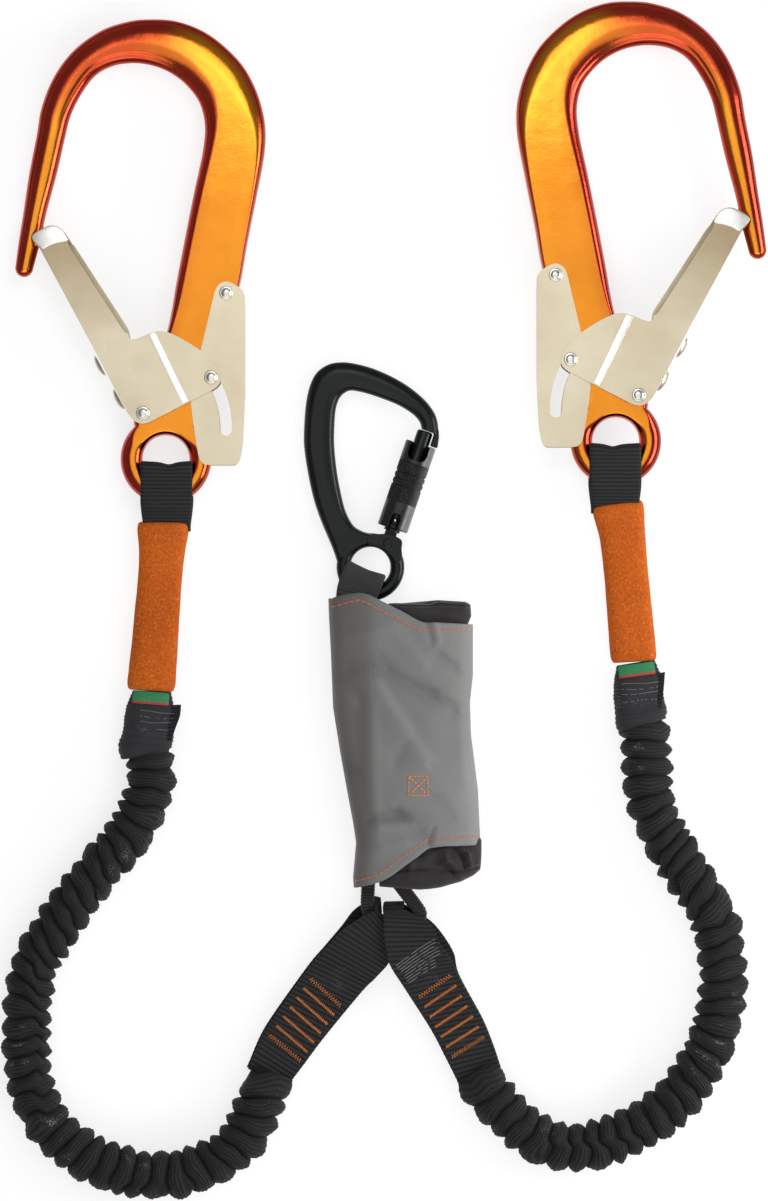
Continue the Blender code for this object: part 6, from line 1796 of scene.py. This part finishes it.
# ------------------------------------------------------------------ carabiner
CARAB = [
    (439.1, 435.3, 421.3, 428.8, 3.0, 3.0, 4.5, 0), (437.6, 422.0, 420.6, 424.6, 3.6, 3.4, 4.6, 0),
    (434.6, 413.0, 418.6, 420.4, 4.0, 3.8, 4.6, 0), (426.0, 401.0, 412.5, 414.0, 4.6, 4.4, 4.6, 0.1),
    (411.0, 388.0, 400.0, 406.0, 5.0, 4.6, 4.6, 0.3), (394.0, 377.5, 385.5, 399.8, 5.6, 4.8, 4.6, 0.4),
    (374.0, 368.6, 368.0, 393.8, 6.0, 5.0, 4.6, 0.45), (356.0, 363.6, 357.0, 391.2, 6.2, 5.2, 4.6, 0.45),
    (342.0, 362.0, 350.0, 390.6, 6.4, 5.2, 4.6, 0.45), (329.0, 364.0, 344.5, 393.0, 6.4, 5.2, 4.6, 0.45),
    (317.0, 372.0, 340.4, 397.0, 6.4, 5.2, 4.6, 0.45), (310.0, 385.0, 337.4, 403.0, 6.0, 5.0, 4.6, 0.5),
    (306.0, 402.5, 335.4, 412.0, 5.0, 4.8, 4.6, 0.55), (304.0, 426.0, 334.4, 427.0, 4.4, 4.6, 4.6, 0.6),
    (304.0, 447.0, 334.3, 446.0, 4.2, 4.6, 4.6, 0.6), (308.0, 474.0, 336.7, 470.0, 4.2, 4.6, 4.6, 0.6),
    (313.0, 497.0, 341.4, 495.5, 4.0, 4.4, 4.6, 0.5), (317.8, 512.5, 346.0, 512.0, 3.8, 4.2, 4.6, 0.35),
    (323.4, 527.0, 353.3, 525.2, 3.6, 3.9, 4.6, 0.2), (329.0, 540.0, 361.8, 530.8, 3.2, 3.4, 4.5, 0.05),
    (333.4, 551.0, 368.4, 532.9, 2.9, 2.9, 4.3, 0), (336.8, 561.0, 374.0, 533.8, 2.6, 2.6, 4.0, 0)]
frame_limb = forged("limb", CARAB, 260, CARAB_Z, groove_at=4.4 * MM, groove_w=0.9 * MM)
ring_part = forged_ring("ring", (370.4, 567.0), 10.0 * MM, 17.0 * MM, CARAB_Z, lambda a: (3.3, 3.3, 4.0), 96)
# hinge ears beside the ring
HINGE = (387.5, 543.0)
hinge = P3(*HINGE, CARAB_Z)
ear_outline = [(368.0, 534.4), (374.0, 533.9), (381.0, 534.0), (386.4, 533.6), (391.2, 533.6), (395.4, 536.2),
               (400.0, 538.6), (402.3, 541.0), (402.2, 545.0), (401.4, 550.0), (402.6, 556.0), (398.0, 566.0), (394.0, 560.0), (386.0, 550.0), (377.0, 545.0),
               (366.0, 544.0)]
neck = rounded(outline_mesh("neck", [plan_loop(soften(ear_outline, 2.0, 2))], CARAB_Z - 4.1 * MM, CARAB_Z + 4.1 * MM),
               0.8 * MM, 3, 40)
ear_slot = []
for i in range(14):
    a = math.radians(180 + 161 * i / 13)
    ear_slot.append((hinge.x + 3.6 * MM * math.cos(a), hinge.y + 3.6 * MM * math.sin(a)))
ear_slot += [(hinge.x + x * MM, hinge.y + y * MM) for x, y in ((5.9, 6.5), (5.9, 8.5), (-3.8, 8.5))]
# the nose runs on as a strip beside the gate
strip = rounded(outline_mesh("strip", [plan_loop([(432.0, 430.0), (433.7, 434.6), (429.9, 446.0), (437.5, 448.4), (439.1, 438.0),
                                                  (438.9, 430.0)])], CARAB_Z - 3.9 * MM, CARAB_Z + 3.9 * MM), 0.8 * MM, 3, 40)
carab_mesh = boolean(frame_limb, [("UNION", ring_part), ("UNION", neck), ("UNION", strip)])
carab_mesh = boolean(carab_mesh, [("DIFFERENCE", outline_mesh("c", [ear_slot], CARAB_Z - 2.6 * MM, CARAB_Z + 2.6 * MM))])
flat_shading(add("carabiner_frame", carab_mesh, BLACK, "carabiner", ("carabiner_body",), sharp=50))

gate_dir = (P3(425.5, 431.0, CARAB_Z) - hinge)
LENGTH = gate_dir.length
angle = math.atan2(gate_dir.y, gate_dir.x)
TO_AXIS = Matrix.Translation(hinge) @ Matrix.Rotation(angle, 4, "Z") @ Matrix.Rotation(math.radians(90), 4, "Y")
ROD = 4.0 * MM
rod = lathe("rod", [(0.0, LENGTH), (ROD - 1.1 * MM, LENGTH), (ROD - 0.3 * MM, LENGTH - 0.3 * MM), (ROD, LENGTH - 1.1 * MM),
                    (ROD, 9.9 * MM), (5.0 * MM, 9.4 * MM), (5.0 * MM, 8.0 * MM), (ROD, 7.4 * MM), (ROD, 6.2 * MM),
                    (0.0, 6.2 * MM)], 56, TO_AXIS)
d = gate_dir.normalized()
tang = outline_mesh("tang", [ribbon([P(*HINGE), (hinge.x + d.x * 4 * MM, hinge.y + d.y * 4 * MM),
                                     (hinge.x + d.x * 8.5 * MM, hinge.y + d.y * 8.5 * MM)], 3.0 * MM, 14)],
                    CARAB_Z - 2.2 * MM, CARAB_Z + 0.8 * MM)
gate_rod = boolean(rod, [("UNION", tang),
                         ("DIFFERENCE", outline_mesh("c", [circle(P(*HINGE), 1.6 * MM, 24)], CARAB_Z - 5 * MM, CARAB_Z + 5 * MM))])
add("carabiner_gate_rod", gate_rod, BLACK, "carabiner_gate", ("carabiner_gate",), sharp=40)

# ball in the sleeve's lower slot
bm = bmesh.new()
bmesh.ops.create_uvsphere(bm, u_segments=24, v_segments=16, radius=1.15 * MM)
ball_mesh = bpy.data.meshes.new("slot_ball")
bmesh.ops.translate(bm, verts=bm.verts, vec=(-3.9 * MM, 0, 12.0 * MM))
bm.to_mesh(ball_mesh)
bm.free()
ball_mesh.transform(TO_AXIS)
add("slot_ball", ball_mesh, STEEL, "carabiner_gate", ("guide_ball",))

# knurled locking sleeve
S0, S1, SR = 7.6 * MM, LENGTH - 6.9 * MM, 7.8 * MM
inner_r = 5.35 * MM
grooves = [S0 + (S1 - S0) * g for g in (0.640, 0.570, 0.500)]
knurl_lo, knurl_hi = S0 + (S1 - S0) * 0.30, S0 + (S1 - S0) * 0.77
zs = np.linspace(S0, S1, 190)
nth = 160
th = np.arange(nth) * 2 * math.pi / nth
body, crest_wear_and_glint, side_reflection_rows = [], [], []
# painted reflection down one flank, kept off the knurl's pits
side_reflection_mask = 0.80 * step(0.40, 0.78, -np.sin(th))
for z in zs:
    r = np.full(nth, SR)
    band = float(step(knurl_lo, knurl_lo + 0.4 * MM, z) * (1 - step(knurl_hi - 0.4 * MM, knurl_hi, z)))
    k1 = (th * SR / (1.25 * MM) + z / (1.25 * MM)) % 1.0
    k2 = (th * SR / (1.25 * MM) - z / (1.25 * MM)) % 1.0
    dia = np.minimum(np.abs(k1 - 0.5), np.abs(k2 - 0.5)) * 2
    r = r - band * 0.46 * MM * (1 - step(0.0, 0.60, dia))
    # worn crests with a painted glint
    crest_wear_and_glint.append(band * step(0.58, 0.96, dia) * 0.95)
    for g in grooves:
        r = r - 0.55 * MM * math.exp(-((z - g) / (0.50 * MM)) ** 2)
    end = min(z - S0, S1 - z)
    r = r - 0.3 * MM * (1 - float(step(0, 0.5 * MM, end)))
    side_reflection_rows.append(side_reflection_mask * (1 - 0.80 * band * (1 - step(0.4, 0.9, dia))))
    body.append(np.column_stack([r * np.cos(th), r * np.sin(th), np.full(nth, z)]))
inner = [np.column_stack([inner_r * np.cos(th), inner_r * np.sin(th), np.full(nth, z)]) for z in (S1, S0)]
none = [np.zeros(nth), np.zeros(nth)]
sleeve_mesh = grid_mesh("sleeve", body + inner, around=True, along=True,
                        attributes={"crest": crest_wear_and_glint + none, "painted_side_reflection": side_reflection_rows + none})


def axis_box(x0, x1, z0, z1, d0, d1, extra=None):
    """A cutter across the gate, x across, z along it, d towards the viewer."""
    pts = extra or [(x0, z0), (x1, z0), (x1, z1), (x0, z1)]
    m = outline_mesh("c", [pts], d0, d1)
    swap = Matrix(((0, 0, -1, 0), (1, 0, 0, 0), (0, 1, 0, 0), (0, 0, 0, 1)))
    m.transform(swap)
    return recalc(m)


window = axis_box(0, 0, 0, 0, 2.0 * MM, 9 * MM, soften([(-4.9 * MM, S1 - 9.0 * MM), (4.9 * MM, S1 - 9.0 * MM), (4.9 * MM, S1 + 3 * MM),
                                                        (-4.9 * MM, S1 + 3 * MM)], 2.0 * MM, 3))
slot_cut = axis_box(0, 0, 0, 0, 2.0 * MM, 9 * MM, soften([(-2.4 * MM, S0 - 2 * MM), (2.4 * MM, S0 - 2 * MM), (2.4 * MM, S0 + 6.5 * MM),
                                                          (1.2 * MM, S0 + 8.0 * MM), (-1.2 * MM, S0 + 8.0 * MM),
                                                          (-2.4 * MM, S0 + 6.5 * MM)], 0.8 * MM, 2))
sleeve_mesh = boolean(sleeve_mesh, [("DIFFERENCE", window), ("DIFFERENCE", slot_cut)])
sleeve_mesh.transform(TO_AXIS)
add("knurled_sleeve", sleeve_mesh, SLEEVE, "locking_sleeve", ("locking_sleeve",), sharp=40)

# ------------------------------------------------- finish of the kept CAD nodes
KEEP = {"carabiner_gate_pin": BLACK, "carabiner_gate_spring": WIRE, "sleeve_spring": WIRE, "sleeve_spring_washer": STEEL,
        "closure_hook_strip": SHELL, "closure_loop_strip": SHELL, "tear_webbing": WEB_BROWN, "reserve_webbing": WEB_BROWN}
for side in ("left", "right"):
    KEEP[side + "_gate_spring"] = WIRE
    KEEP[side + "_lever_spring"] = WIRE
for name, mat in KEEP.items():
    mesh = NODES[name].data
    mesh.materials.clear()
    mesh.materials.append(mat)
